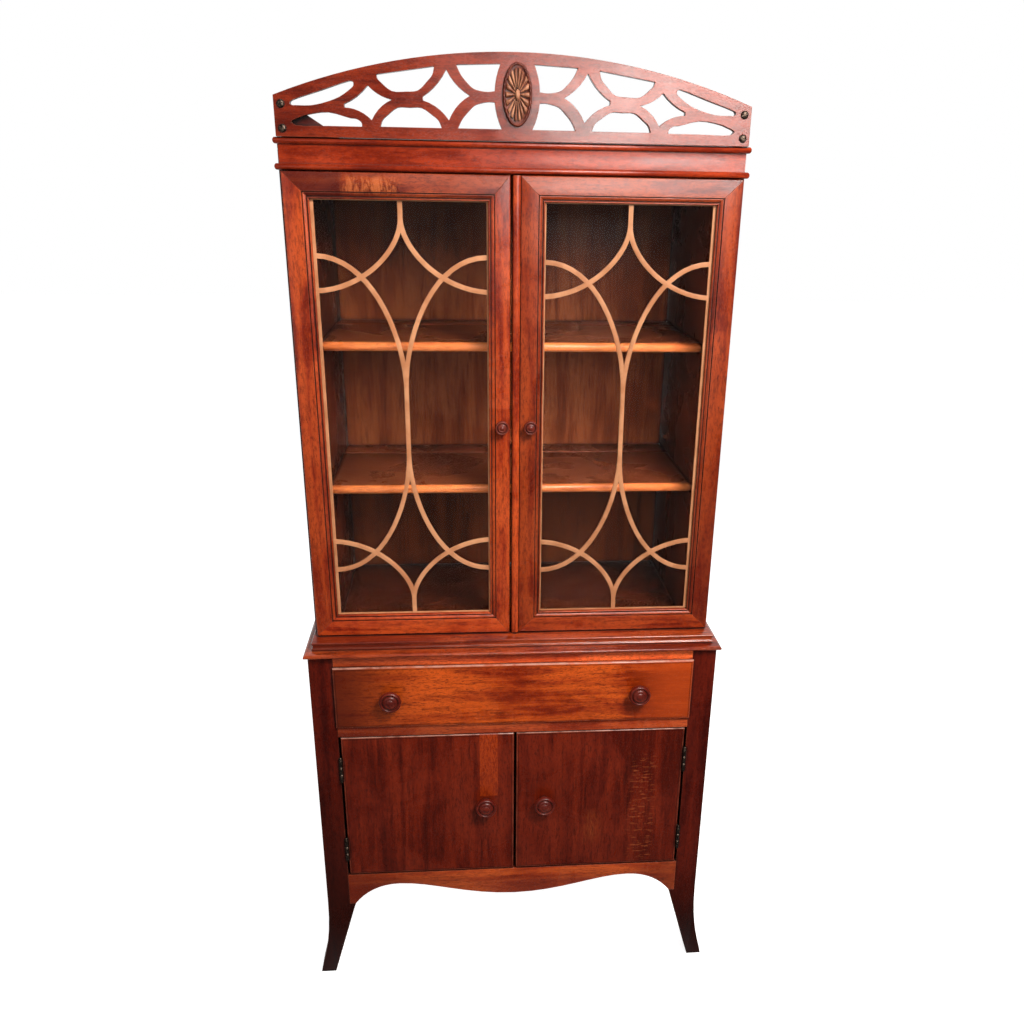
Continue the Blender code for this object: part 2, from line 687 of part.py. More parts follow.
def make_hutch_sides(looks, root):
    top = HUTCH_TOP_Z - SEAM
    dado = CASE_INNER_HALF + SHELF_DADO_DEPTH
    outline = [(CASE_HALF, HUTCH_FLOOR_Z + SEAM), (CASE_HALF, top), (CASE_INNER_HALF, top)]
    for shelf_top in reversed(SHELF_TOPS_Z):
        high, low = shelf_top + SEAM, shelf_top - SHELF_THICKNESS - SEAM
        outline += [(CASE_INNER_HALF, high), (dado, high), (dado, low), (CASE_INNER_HALF, low)]
    outline.append((CASE_INNER_HALF, HUTCH_FLOOR_Z + SEAM))
    for side_name, side in SIDES:
        board = prism_along_y(mirrored(outline, side), (CASE_FRONT, BASE_DEPTH))
        settle(f"hutch_side_{side_name}", board, looks["frame"], root)


def make_hutch_back_and_top(looks, root):
    half = CASE_INNER_HALF - SEAM
    back = box((-half, half), (CASE_BACK_FRONT, CASE_BACK_REAR), (HUTCH_FLOOR_Z + SEAM, HUTCH_TOP_Z - SEAM))
    settle("hutch_back", back, looks["inside"], root)
    top = box((-CASE_HALF, CASE_HALF), (CASE_FRONT, BASE_DEPTH), (HUTCH_TOP_Z, CASE_TOP_Z))
    settle("hutch_top", top, looks["frame"], root)


def shelf_outline(top):
    """Side view of a shelf: a half-round front edge and a plate groove near the back."""
    radius = SHELF_THICKNESS / 2
    front = CASE_FRONT + SHELF_FRONT_SETBACK
    nose = []
    for step in range(2 * ROUND_STEPS + 1):
        angle = math.pi / 2 + math.pi * step / (2 * ROUND_STEPS)
        nose.append((front + radius + radius * math.cos(angle), top - radius + radius * math.sin(angle)))
    back = CASE_BACK_FRONT - SEAM
    groove_back = back - SHELF_GROOVE_FROM_BACK
    groove_front = groove_back - SHELF_GROOVE_WIDTH
    groove_low = top - SHELF_GROOVE_DEPTH
    slope = SHELF_GROOVE_DEPTH / 2
    groove = [
        (groove_back, top),
        (groove_back - slope, groove_low),
        (groove_front + slope, groove_low),
        (groove_front, top),
    ]
    return [*nose, (back, top - SHELF_THICKNESS), (back, top), *groove]


def make_shelves(looks, root):
    half = CASE_INNER_HALF + SHELF_DADO_DEPTH - SEAM
    for name, top in zip(SHELF_NAMES, SHELF_TOPS_Z):
        settle(name, prism_along_x(shelf_outline(top), (-half, half)), looks["inside"], root)


def bead_rings(z_low):
    """A half-round bead round the front and both sides of the case, as rings along its path."""
    arm_x = CASE_HALF + SEAM
    arm_y = FRIEZE_FRONT - BEAD_PROUD + BEAD_SIDE_PROUD
    root_y = FRIEZE_FRONT + BEAD_ROOT
    steps = 2 * ROUND_STEPS
    profile = []
    for step in range(steps + 1):
        angle = math.pi * step / steps
        profile.append((BEAD_SIDE_PROUD * math.sin(angle), z_low + BEAD_HEIGHT * (1 - math.cos(angle)) / 2))
    rings = []
    for side, is_corner in ((-1, False), (-1, True), (1, True), (1, False)):
        ring = []
        for out, z in profile:
            x = side * (arm_x + out)
            is_root = z in (profile[0][1], profile[-1][1])
            front = root_y if is_root else arm_y - out
            ring.append((x, front if is_corner else BASE_DEPTH, z))
        rings.append(ring)
    return rings


def make_frieze(looks, root):
    board = box((-FRIEZE_HALF, FRIEZE_HALF), (FRIEZE_FRONT, CASE_FRONT - SEAM), (FRIEZE_Z, CASE_TOP_Z))
    frieze = settle("frieze", board, looks["light"], root)
    for name, z_low in (("low", FRIEZE_Z), ("high", CASE_TOP_Z - BEAD_HEIGHT)):
        bead = settle(f"bead_{name}_helper", stack(bead_rings(z_low)), None, root, is_helper=True)
        combine(frieze, bead, "UNION")


# Crest

def arch_z(x):
    """Height of the crest's top edge above its foot, on one arc of a circle."""
    rise = CREST_HEIGHT - CREST_END_HEIGHT
    radius = (CREST_HALF ** 2 + rise ** 2) / (2 * rise)
    return CREST_HEIGHT - radius + math.sqrt(radius ** 2 - x ** 2)


def crest_outline():
    arch = []
    for step in range(ARCH_STEPS + 1):
        x = CREST_HALF * (1 - 2 * step / ARCH_STEPS)
        arch.append((x, CREST_Z + arch_z(x)))
    return [(-CREST_HALF, CREST_Z), (CREST_HALF, CREST_Z), *arch]


def runs_clockwise(corners):
    return sum(a[0] * b[1] - b[0] * a[1] for a, b in zip(corners, corners[1:] + corners[:1])) < 0


def opening_outline(corners, bows, sharps):
    """Arcs between two sharp corners, and one smooth line through the soft corners of each other run."""
    outline, run, edges = [], [], 0
    ends, is_sharp_at_end = corners[1:] + corners[:1], sharps[1:] + sharps[:1]
    for start, end, bow, is_end_sharp in zip(corners, ends, bows, is_sharp_at_end):
        run += [start, bow_middle(start, end, bow)]
        edges += 1
        if is_end_sharp:
            outline += bowed(start, end, bow) if edges == 1 else soft_line([*run, end], False)
            run, edges = [], 0
    return outline + soft_line(run, True) if run else outline


def crest_openings():
    openings = []
    for shares in CREST_OPENING_SHARES:
        corners = [(-CREST_HALF * share[0], CREST_Z + CREST_HEIGHT * share[1]) for share in shares]
        outward = 1 if runs_clockwise(corners) else -1
        bows = [outward * share[2] for share in shares]
        outline = opening_outline(corners, bows, [share[3] for share in shares])
        openings += [outline, [(-x, z) for x, z in outline]]
    return openings


def screw_places():
    places = {}
    for side_name, side in SIDES:
        for rise_name, rise in zip(SCREW_NAMES, SCREW_RISES):
            places[f"{side_name}_{rise_name}"] = (side * (CREST_HALF - SCREW_INSET), CREST_Z + rise)
    return places


def make_crest(looks, root):
    holes = crest_openings()
    for x, z in screw_places().values():
        ring = circle((x, z), SCREW_SHANK_RADIUS + SCREW_HOLE_PLAY, PIN_SIDES, CREST_FRONT, "y")
        holes.append([(point[0], point[2]) for point in ring])
    board = pierced([crest_outline()], holes, (CREST_FRONT, CREST_BACK))
    settle("crest_board", board, looks["frame"], root)


def make_patera(looks, root):
    back = CREST_FRONT - SEAM
    centre = (0, CREST_Z + PATERA_CENTRE_RISE)
    profile = [(PATERA_HALF * run, back - PATERA_THICKNESS * rise) for run, rise in PATERA_SHARES]
    oval = turned(centre, profile, PATERA_SIDES, "y", squash=PATERA_HEIGHT_HALF / PATERA_HALF)
    shade_round(settle("patera", oval, looks["carved"], root))


def make_braces(looks, root):
    """A triangular brace behind the crest's left end, and a narrow block behind its right end."""
    outer = CREST_HALF - BRACE_END_INSET
    toe = BRACE_HEIGHT * BRACE_TOE_SHARE
    y_span = (CREST_BACK + SEAM, CREST_BACK + SEAM + BRACE_THICKNESS)
    outline = [
        (BRACE_LENGTH - outer, CREST_Z),
        (BRACE_LENGTH - outer, CREST_Z + toe),
        (-outer, CREST_Z + BRACE_HEIGHT),
        (-outer, CREST_Z),
    ]
    settle("crest_brace_left", prism_along_y(outline, y_span), looks["dark"], root)
    block = box((outer - BLOCK_WIDTH, outer), y_span, (CREST_Z, CREST_Z + BRACE_HEIGHT))
    settle("crest_block_right", block, looks["dark"], root)


def make_screws(looks, root):
    back = CREST_FRONT - SEAM
    shank = [(SCREW_SHANK_RADIUS, CREST_BACK), (SCREW_SHANK_RADIUS, back)]
    head = [(SCREW_HEAD_RADIUS * run, back - SCREW_HEAD_HEIGHT * rise) for run, rise in SCREW_SHARES]
    for name, centre in screw_places().items():
        screw = turned(centre, shank + head, PIN_SIDES, "y")
        shade_round(settle(f"crest_screw_{name}", screw, looks["metal"], root))


# Knobs

def make_knob(name, centre, face, radius, length, looks, body):
    profile = [(radius * run, face - SEAM - length * rise) for run, rise in KNOB_SHARES]
    knob = turned(centre, profile, KNOB_SIDES, "y")
    shade_round(settle(name, knob, looks["dark"], body))


# Upper doors

def door_spans(side):
    """Outer x and z spans of an upper door. The left one stops short of the right one's meeting bead."""
    near = UPPER_MEETING_HALF + (MEETING_GAP if side < 0 else 0)
    return span(side, near, UPPER_DOOR_OUTER_HALF), (UPPER_DOOR_Z, UPPER_DOOR_TOP_Z)


def sight_spans(side):
    near = UPPER_MEETING_HALF + STILE_INNER_WIDTH
    far = UPPER_DOOR_OUTER_HALF - STILE_OUTER_WIDTH
    z_span = (UPPER_DOOR_Z + DOOR_BOTTOM_RAIL_HEIGHT, UPPER_DOOR_TOP_Z - DOOR_TOP_RAIL_HEIGHT)
    return span(side, near, far), z_span


def door_frame_rings(side):
    outer_x, outer_z = door_spans(side)
    sight_x, sight_z = sight_spans(side)
    front, back = UPPER_DOOR_FRONT, UPPER_DOOR_BACK
    shoulder = front + REBATE_SHOULDER
    rings = [rectangle_at_y(sight_x, sight_z, 0, shoulder)]
    for run, depth in DOOR_MOULD_SHARES:
        y = front + DOOR_MOULD_DEPTH * depth
        rings.append(rectangle_at_y(sight_x, sight_z, -DOOR_MOULD_WIDTH * run, y))
    rings.append(rectangle_at_y(outer_x, outer_z, DOOR_ARRIS, front))
    rings.append(rectangle_at_y(outer_x, outer_z, 0, front + DOOR_ARRIS))
    rings.append(rectangle_at_y(outer_x, outer_z, 0, back - DOOR_BACK_CHAMFER))
    rings.append(rectangle_at_y(outer_x, outer_z, DOOR_BACK_CHAMFER, back))
    rings.append(rectangle_at_y(sight_x, sight_z, -REBATE_WIDTH, back))
    rings.append(rectangle_at_y(sight_x, sight_z, -REBATE_WIDTH, shoulder))
    return rings


def meeting_bead_outline():
    """Plan of the bead on the right door's meeting edge: a round front, and a root in the stile."""
    near, far = -UPPER_MEETING_HALF, UPPER_MEETING_HALF
    front = UPPER_DOOR_FRONT - MEETING_BEAD_PROUD
    middle, reach = (near + far) / 2, (far - near) / 2
    nose = []
    for step in range(2 * ROUND_STEPS + 1):
        angle = math.pi * step / (2 * ROUND_STEPS)
        nose.append((middle + reach * math.cos(angle), front + MEETING_BEAD_PROUD * (1 - math.sin(angle))))
    root_x = far + CUT_OVERRUN
    rear = [(near, UPPER_DOOR_BACK), (root_x, UPPER_DOOR_BACK - DOOR_BACK_CHAMFER)]
    return [*nose, *rear, (root_x, UPPER_DOOR_FRONT + DOOR_MOULD_DEPTH)]


def pivot_cutter(side, z_span):
    centre = (side * UPPER_PIVOT_X, UPPER_PIVOT_Y)
    radius = PIVOT_PIN_RADIUS + PIVOT_PIN_PLAY
    return turned(centre, [(radius, z_span[0]), (radius, z_span[1])], PIN_SIDES, "z")


def make_door_frame(side_name, side, looks, body):
    rings = door_frame_rings(side)
    frame = settle(f"upper_door_{side_name}", stack(rings, loops=True), looks["frame"], body)
    if side > 0:
        z_span = (UPPER_DOOR_Z, UPPER_DOOR_TOP_Z)
        bead = prism_along_z(meeting_bead_outline(), z_span)
        combine(frame, settle("meeting_bead_helper", bead, None, body, is_helper=True), "UNION")
    depth = PIVOT_PIN_LENGTH + PIVOT_HOLE_EXTRA_DEPTH
    spans = (
        ("low", (UPPER_DOOR_Z - CUT_OVERRUN, UPPER_DOOR_Z + depth)),
        ("high", (UPPER_DOOR_TOP_Z - depth, UPPER_DOOR_TOP_Z + CUT_OVERRUN)),
    )
    for end_name, z_span in spans:
        name = f"pivot_hole_{side_name}_{end_name}_helper"
        hole = settle(name, pivot_cutter(side, z_span), None, body, is_helper=True)
        combine(frame, hole, "DIFFERENCE")


def fret_outlines(side):
    """Every bar of one door's tracery, as overlapping outlines in the door's plane."""
    sight_x, sight_z = sight_spans(side)
    middle_x, middle_z = sum(sight_x) / 2, sum(sight_z) / 2
    reach_x = (sight_x[1] - sight_x[0]) / 2 - FRET_BORDER_INNER / 2
    reach_z = (sight_z[1] - sight_z[0]) / 2 - FRET_BORDER_END / 2
    lift = FRET_LIFTS["left" if side < 0 else "right"]
    cross_x, heights = FRET_CROSSING_REACH, {}
    for name, share in FRET_HEIGHT_SHARES.items():
        heights[name] = reach_z * share
    side_low, merge = heights["side_low"], heights["merge"]
    sweep = curved(
        (0, heights["apex"]),
        (0, heights["apex_turn"]),
        (cross_x * 0.98, side_low + (heights["crossing"] - side_low) * 0.16),
        (reach_x, side_low),
        2 * CURVE_STEPS,
    )
    lens = curved(
        (reach_x, heights["side_high"]),
        (cross_x * 0.75, heights["side_high"]),
        (0, heights["merge_turn"]),
        (0, merge),
        2 * CURVE_STEPS,
    )
    bars = []
    for flip_x in (-1, 1):
        for flip_z in (-1, 1):
            for path in (sweep, lens):
                bars.append([(flip_x * x, lift + flip_z * z) for x, z in path])
    bars.append([(0, lift - merge - FRET_BAR), (0, lift + merge + FRET_BAR)])
    for flip_z in (-1, 1):
        bars.append([(0, lift + flip_z * (heights["apex"] - FRET_BAR)), (0, flip_z * reach_z)])
    outlines = [ribbon([(middle_x + x, middle_z + z) for x, z in bar], FRET_BAR) for bar in bars]
    hidden = REBATE_WIDTH - SEAM
    left, right = sight_x[0] - hidden, sight_x[1] + hidden
    low, high = sight_z[0] - hidden, sight_z[1] + hidden
    borders = (FRET_BORDER_OUTER, FRET_BORDER_INNER)
    left_border, right_border = borders if side < 0 else reversed(borders)
    for x_low, x_high in ((left, sight_x[0] + left_border), (sight_x[1] - right_border, right)):
        outlines.append([(x_low, low), (x_high, low), (x_high, high), (x_low, high)])
    for z_low, z_high in ((low, sight_z[0] + FRET_BORDER_END), (sight_z[1] - FRET_BORDER_END, high)):
        outlines.append([(left, z_low), (right, z_low), (right, z_high), (left, z_high)])
    return outlines


def make_fret(side_name, side, looks, body):
    front = UPPER_DOOR_FRONT + REBATE_SHOULDER + SEAM
    fret = pierced(fret_outlines(side), [], (front, front + FRET_THICKNESS))
    settle(f"fret_{side_name}", fret, looks["fret"], body)


def make_pane(side_name, side, looks, body):
    sight_x, sight_z = sight_spans(side)
    hidden = REBATE_WIDTH - SEAM
    front = UPPER_DOOR_FRONT + REBATE_SHOULDER + FRET_THICKNESS + 2 * SEAM
    x_span = (sight_x[0] - hidden, sight_x[1] + hidden)
    z_span = (sight_z[0] - hidden, sight_z[1] + hidden)
    settle(f"glass_{side_name}", box(x_span, (front, front + GLASS_THICKNESS), z_span), looks["glass"], body)


def make_pivots(side_name, side, looks, root):
    """Plate and pin under and over an upper door, fixed to the case."""
    centre = (side * UPPER_PIVOT_X, UPPER_PIVOT_Y)
    for end_name, start, turn in (("bottom", HUTCH_FLOOR_Z + SEAM, 1), ("top", FRIEZE_Z - SEAM, -1)):
        face = UPPER_DOOR_Z if turn > 0 else UPPER_DOOR_TOP_Z
        plate_end = start + turn * PIVOT_PLATE_THICKNESS
        profile = [
            (PIVOT_PLATE_RADIUS, start),
            (PIVOT_PLATE_RADIUS, plate_end),
            (PIVOT_PIN_RADIUS, plate_end),
            (PIVOT_PIN_RADIUS, face + turn * PIVOT_PIN_LENGTH),
        ]
        pivot = turned(centre, profile, PIN_SIDES, "z")
        settle(f"upper_pivot_{side_name}_{end_name}", pivot, looks["metal"], root)


def make_upper_doors(looks, root):
    for side_name, side in SIDES:
        place = (side * UPPER_PIVOT_X, UPPER_PIVOT_Y, UPPER_DOOR_Z)
        body = make_body(f"upper_{side_name}_door", place, root)
        make_door_frame(side_name, side, looks, body)
        make_fret(side_name, side, looks, body)
        make_pane(side_name, side, looks, body)
        make_knob(f"upper_knob_{side_name}", (side * UPPER_KNOB_X, UPPER_KNOB_Z), UPPER_DOOR_FRONT,
                  SMALL_KNOB_RADIUS, SMALL_KNOB_LENGTH, looks, body)
        make_pivots(side_name, side, looks, root)


# Lower doors

def leaf_plate(side, near, far, z_span, y_span):
    return box(span(side, near, far), y_span, z_span)


def make_hinge(side_name, side, end_name, z_low, looks, root, door):
    """A butt hinge: the case's leaf holds the pin and two knuckles, the door's leaf the middle knuckle."""
    axis = (side * LOWER_HINGE_X, -HINGE_AXIS_FORWARD)
    third = HINGE_HEIGHT / 3
    z_high = z_low + HINGE_HEIGHT
    leaf_back = LOWER_DOOR_THICKNESS
    leaf_front = HINGE_KNUCKLE_RADIUS - HINGE_AXIS_FORWARD + HINGE_LEAF_CLEARANCE
    knuckles = ((z_low, z_low + third - SEAM), (z_high - third + SEAM, z_high))
    tip = HINGE_TIP_HEIGHT
    radius, pin = HINGE_KNUCKLE_RADIUS, HINGE_PIN_RADIUS
    profile = [
        (pin, z_low - tip),
        (radius * 0.85, z_low - tip * 0.75),
        (radius * 0.95, z_low - tip * 0.5),
        (radius * 0.60, z_low - tip * 0.15),
        (radius, z_low),
        (radius, knuckles[0][1]),
        (pin, knuckles[0][1]),
        (pin, knuckles[1][0]),
        (radius, knuckles[1][0]),
        (radius, z_high),
        (radius * 0.60, z_high + tip * 0.15),
        (radius * 0.95, z_high + tip * 0.5),
        (radius * 0.85, z_high + tip * 0.75),
        (pin, z_high + tip),
    ]
    case_far = POST_INNER - SEAM
    case_near = case_far - HINGE_LEAF_THICKNESS
    label = f"lower_hinge_{side_name}_{end_name}"
    case_leaf = settle(f"{label}_case_leaf", turned(axis, profile, PIN_SIDES, "z"), looks["metal"], root)
    plates = [("plate", (z_low, z_high), leaf_front)]
    plates += [(f"web_{index}", z_span, -HINGE_AXIS_FORWARD) for index, z_span in enumerate(knuckles)]
    for plate_name, z_span, front in plates:
        plate = leaf_plate(side, case_near, case_far, z_span, (front, leaf_back))
        helper = settle(f"{label}_case_{plate_name}_helper", plate, None, root, is_helper=True)
        combine(case_leaf, helper, "UNION")
    door_near = LOWER_DOOR_OUTER + SEAM
    door_far = door_near + HINGE_LEAF_THICKNESS
    middle = (z_low + third, z_high - third)
    knuckle = tube(axis, pin + HINGE_PIN_PLAY, radius, middle, PIN_SIDES)
    door_leaf = settle(f"{label}_door_leaf", knuckle, looks["metal"], door)
    web_front = -HINGE_AXIS_FORWARD + pin + HINGE_PIN_PLAY + HINGE_LEAF_CLEARANCE
    for plate_name, z_span, front in (("plate", (z_low, z_high), leaf_front), ("web", middle, web_front)):
        plate = leaf_plate(side, door_near, door_far, z_span, (front, leaf_back))
        helper = settle(f"{label}_door_{plate_name}_helper", plate, None, door, is_helper=True)
        combine(door_leaf, helper, "UNION")


def make_lower_doors(looks, root):
    z_span = (LOWER_DOOR_Z, LOWER_DOOR_TOP_Z)
    for side_name, side in SIDES:
        place = (side * LOWER_HINGE_X, -HINGE_AXIS_FORWARD, LOWER_DOOR_Z)
        body = make_body(f"lower_{side_name}_door", place, root)
        x_span = span(side, LOWER_MEETING_GAP / 2, LOWER_DOOR_OUTER)
        slab = rounded_slab(x_span, z_span, 0, LOWER_DOOR_THICKNESS, LOWER_DOOR_ROUND)
        settle(f"lower_door_{side_name}", slab, looks["dark"], body)
        make_knob(f"lower_knob_{side_name}", (side * LOWER_KNOB_X, LOWER_KNOB_Z), 0,
                  LARGE_KNOB_RADIUS, LARGE_KNOB_LENGTH, looks, body)
        low = LOWER_DOOR_Z + LOWER_HINGE_END_LOW
        high = LOWER_DOOR_TOP_Z - LOWER_HINGE_END_HIGH - HINGE_HEIGHT
        for end_name, z_low in (("bottom", low), ("top", high)):
            make_hinge(side_name, side, end_name, z_low, looks, root, body)


# Drawer

def make_drawer_front(looks, body):
    """A lipped front: the lip laps the posts and rails, and the block behind it fills the opening."""
    lip_half = POST_INNER + DRAWER_LIP_SIDE
    lip_x = (-lip_half, lip_half)
    lip_z = (DRAWER_OPENING_Z - DRAWER_LIP_UNDER, TOP_RAIL_Z + DRAWER_LIP_OVER)
    block_half = POST_INNER - DRAWER_SIDE_PLAY
    block_x = (-block_half, block_half)
    block_z = (DRAWER_OPENING_Z + SEAM, TOP_RAIL_Z - DRAWER_HEAD_PLAY)
    front = -DRAWER_LIP_THICKNESS
    steps = round_steps(DRAWER_LIP_ROUND)
    rings = [rectangle_at_y(lip_x, lip_z, inset, front + depth) for inset, depth in steps]
    rings.append(rectangle_at_y(lip_x, lip_z, 0, -SEAM))
    rings.append(rectangle_at_y(block_x, block_z, 0, -SEAM))
    rings.append(rectangle_at_y(block_x, block_z, 0, front + DRAWER_FRONT_THICKNESS))
    settle("drawer_front", stack(rings), looks["light"], body)


def make_drawer_box(looks, body):
    front = DRAWER_FRONT_THICKNESS - DRAWER_LIP_THICKNESS + SEAM
    rear = BASE_BACK_FRONT - DRAWER_REAR_PLAY
    outer = POST_INNER - DRAWER_SIDE_PLAY
    inner = outer - DRAWER_SIDE_THICKNESS
    low = DRAWER_OPENING_Z + SEAM
    high = low + DRAWER_SIDE_HEIGHT
    for side_name, side in SIDES:
        board = box(span(side, inner, outer), (front, rear), (low, high))
        settle(f"drawer_side_{side_name}", board, looks["lining"], body)
    half = inner - SEAM
    bottom_z = low + DRAWER_BOTTOM_LIFT
    bottom_top = bottom_z + DRAWER_BOTTOM_THICKNESS
    back_front = rear - DRAWER_SIDE_THICKNESS
    back = box((-half, half), (back_front, rear), (bottom_top + SEAM, high - DRAWER_BACK_DROP))
    settle("drawer_back", back, looks["lining"], body)
    bottom = box((-half, half), (front, rear), (bottom_z, bottom_top))
    settle("drawer_bottom", bottom, looks["lining"], body)


def make_drawer(looks, root):
    body = make_body("drawer", (0, 0, DRAWER_OPENING_Z), root)
    make_drawer_front(looks, body)
    make_drawer_box(looks, body)
    for side_name, side in SIDES:
        make_knob(f"drawer_knob_{side_name}", (side * DRAWER_KNOB_X, DRAWER_KNOB_Z), -DRAWER_LIP_THICKNESS,
                  LARGE_KNOB_RADIUS, LARGE_KNOB_LENGTH, looks, body)


def main():
    clear_scene()
    looks = make_looks()
    root = make_body("cabinet", (0, 0, 0))
    root.location.y = -MIDDLE_DEPTH
    make_posts(looks, root)
    make_side_panels(looks, root)
    make_base_back(looks, root)
    make_rails(looks, root)
    make_apron(looks, root)
    make_inner_boards(looks, root)
    make_base_top(looks, root)
    make_hutch_base(looks, root)
    make_hutch_sides(looks, root)
    make_hutch_back_and_top(looks, root)
    make_shelves(looks, root)
    make_frieze(looks, root)
    make_crest(looks, root)
    make_patera(looks, root)
    make_braces(looks, root)
    make_screws(looks, root)
    make_upper_doors(looks, root)
    make_lower_doors(looks, root)
    make_drawer(looks, root)


main()
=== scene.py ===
"""Looks of the display cabinet: figured mahogany, glazed doors, carved oval, soft studio light.

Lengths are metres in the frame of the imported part. Left and right are the viewer's.
"""

import json
import math
from typing import NamedTuple

import bmesh
import bpy
from mathutils import Matrix, Vector

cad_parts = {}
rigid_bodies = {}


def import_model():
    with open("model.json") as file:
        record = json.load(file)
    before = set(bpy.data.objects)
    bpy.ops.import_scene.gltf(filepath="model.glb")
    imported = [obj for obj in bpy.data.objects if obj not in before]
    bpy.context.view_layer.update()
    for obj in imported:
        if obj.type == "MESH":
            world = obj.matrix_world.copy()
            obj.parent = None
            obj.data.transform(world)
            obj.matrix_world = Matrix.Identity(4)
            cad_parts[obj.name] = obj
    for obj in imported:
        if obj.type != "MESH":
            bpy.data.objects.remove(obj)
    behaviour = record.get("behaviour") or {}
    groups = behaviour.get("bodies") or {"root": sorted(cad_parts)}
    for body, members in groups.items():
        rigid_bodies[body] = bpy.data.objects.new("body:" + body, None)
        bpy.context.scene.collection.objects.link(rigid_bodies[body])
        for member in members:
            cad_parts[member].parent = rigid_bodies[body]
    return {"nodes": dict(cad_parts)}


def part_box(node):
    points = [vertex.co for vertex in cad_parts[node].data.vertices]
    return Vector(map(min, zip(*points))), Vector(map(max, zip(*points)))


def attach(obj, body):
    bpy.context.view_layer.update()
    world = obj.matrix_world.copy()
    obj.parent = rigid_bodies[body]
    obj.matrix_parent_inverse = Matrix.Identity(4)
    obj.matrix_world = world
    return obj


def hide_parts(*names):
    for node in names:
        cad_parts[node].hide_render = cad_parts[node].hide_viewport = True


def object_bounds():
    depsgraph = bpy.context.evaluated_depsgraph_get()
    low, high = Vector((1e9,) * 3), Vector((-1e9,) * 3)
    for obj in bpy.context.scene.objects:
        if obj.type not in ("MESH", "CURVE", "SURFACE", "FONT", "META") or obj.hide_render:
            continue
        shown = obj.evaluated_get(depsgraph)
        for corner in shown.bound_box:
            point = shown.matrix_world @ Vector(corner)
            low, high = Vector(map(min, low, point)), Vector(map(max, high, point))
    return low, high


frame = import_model()
CAD_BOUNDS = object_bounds()
NODES = frame["nodes"]

# Camera, fitted to the photograph
CAMERA_PLACE = (-0.1027, -1.93815, 1.6437)
CAMERA_PITCH = math.radians(22.274)
CAMERA_YAW = math.radians(-5.367)
CAMERA_ROLL = math.radians(1.056)
PHOTO_WIDTH = 1024
FOCAL_PIXELS = 976.2
PRINCIPAL_POINT = (547.4, 586.1)
SENSOR_WIDTH_MM = 36

# Edges of all pieces
WELD_DISTANCE = 0.00002
SOFT_EDGE = 0.0008
WIDE_EDGE = 0.0014
SLIM_EDGE = 0.0004
BEVEL_SEGMENTS = 2
CAD_EDGE_ANGLE = 28
PIECE_EDGE_ANGLE = 50

# Seeds of the wood patterns
NODE_SEED = 11
MEMBER_SEEDS = {"left": 3, "right": 8}
BEAD_SEED = 41
KNOB_SEED = 60


def clear_defaults():
    for old in list(bpy.data.objects):
        if old.name in ("Cube", "Light", "Camera"):
            bpy.data.objects.remove(old, do_unlink=True)


# Node helper

# Sockets of the mix node: first value, second value and result
MIX_SOCKETS = {"RGBA": (6, 7, 2), "FLOAT": (2, 3, 0)}


class Graph:
    """The node tree of a material or of the world, with short calls to add and join nodes."""

    def __init__(self, owner, shader_name="Principled BSDF"):
        owner.use_nodes = True
        self.owner = owner
        self.tree = owner.node_tree
        self.shader = self.tree.nodes[shader_name]

    def node(self, kind, inputs=None, **settings):
        made = self.tree.nodes.new(kind)
        for key, value in settings.items():
            setattr(made, key, value)
        for key, value in (inputs or {}).items():
            self.feed(made.inputs[key], value)
        return made

    def feed(self, socket, value):
        if isinstance(value, bpy.types.NodeSocket):
            self.tree.links.new(value, socket)
        elif isinstance(value, (tuple, list)) and len(value) == 3 and socket.type == "RGBA":
            socket.default_value = (*value, 1)
        else:
            socket.default_value = value

    def finish(self, inputs):
        """Feeds the shader's own inputs and returns the material or world."""
        for key, value in inputs.items():
            self.feed(self.shader.inputs[key], value)
        return self.owner

    def axis(self, name):
        place = self.node("ShaderNodeTexCoord").outputs["Object"]
        return self.node("ShaderNodeSeparateXYZ", {0: place}).outputs[name]

    def noise(self, scale, detail=4, roughness=0.55, distortion=0, stretch=(1, 1, 1), shift=(0, 0, 0)):
        place = self.node("ShaderNodeTexCoord").outputs["Object"]
        mapping = self.node("ShaderNodeMapping", {"Vector": place, "Location": shift, "Scale": stretch})
        inputs = {"Vector": mapping.outputs["Vector"], "Scale": scale, "Detail": detail,
                  "Roughness": roughness, "Distortion": distortion}
        return self.node("ShaderNodeTexNoise", inputs).outputs["Fac"]

    def ramp(self, value, low, high, low_to=0, high_to=1):
        """value, taken from low..high to low_to..high_to with soft ends. Named ranges keep this order."""
        inputs = {"Value": value, "From Min": low, "From Max": high, "To Min": low_to, "To Max": high_to}
        made = self.node("ShaderNodeMapRange", inputs, interpolation_type="SMOOTHSTEP", clamp=True)
        return made.outputs["Result"]

    def mix(self, factor, one, other, kind="RGBA"):
        first, second, result = MIX_SOCKETS[kind]
        made = self.node("ShaderNodeMix", None, data_type=kind)
        for index, value in ((0, factor), (first, one), (second, other)):
            self.feed(made.inputs[index], value)
        return made.outputs[result]

    def math(self, operation, one, other):
        return self.node("ShaderNodeMath", {0: one, 1: other}, operation=operation).outputs[0]

    def times(self, one, other):
        return self.math("MULTIPLY", one, other)

    def bump(self, height, strength, distance, normal=None):
        made = self.node("ShaderNodeBump", {"Height": height, "Strength": strength, "Distance": distance})
        if normal is not None:
            self.feed(made.inputs["Normal"], normal)
        return made.outputs["Normal"]

    def bevel_normal(self, radius, samples):
        return self.node("ShaderNodeBevel", {"Radius": radius}, samples=samples).outputs["Normal"]


# Woods

class Wood(NamedTuple):
    """Colours of a wood, its own shares of figure, of streaks and of mottle, and its gloss."""
    dark: tuple
    body: tuple
    light: tuple
    figure: float
    streaks: float
    mottle: float
    gloss: float


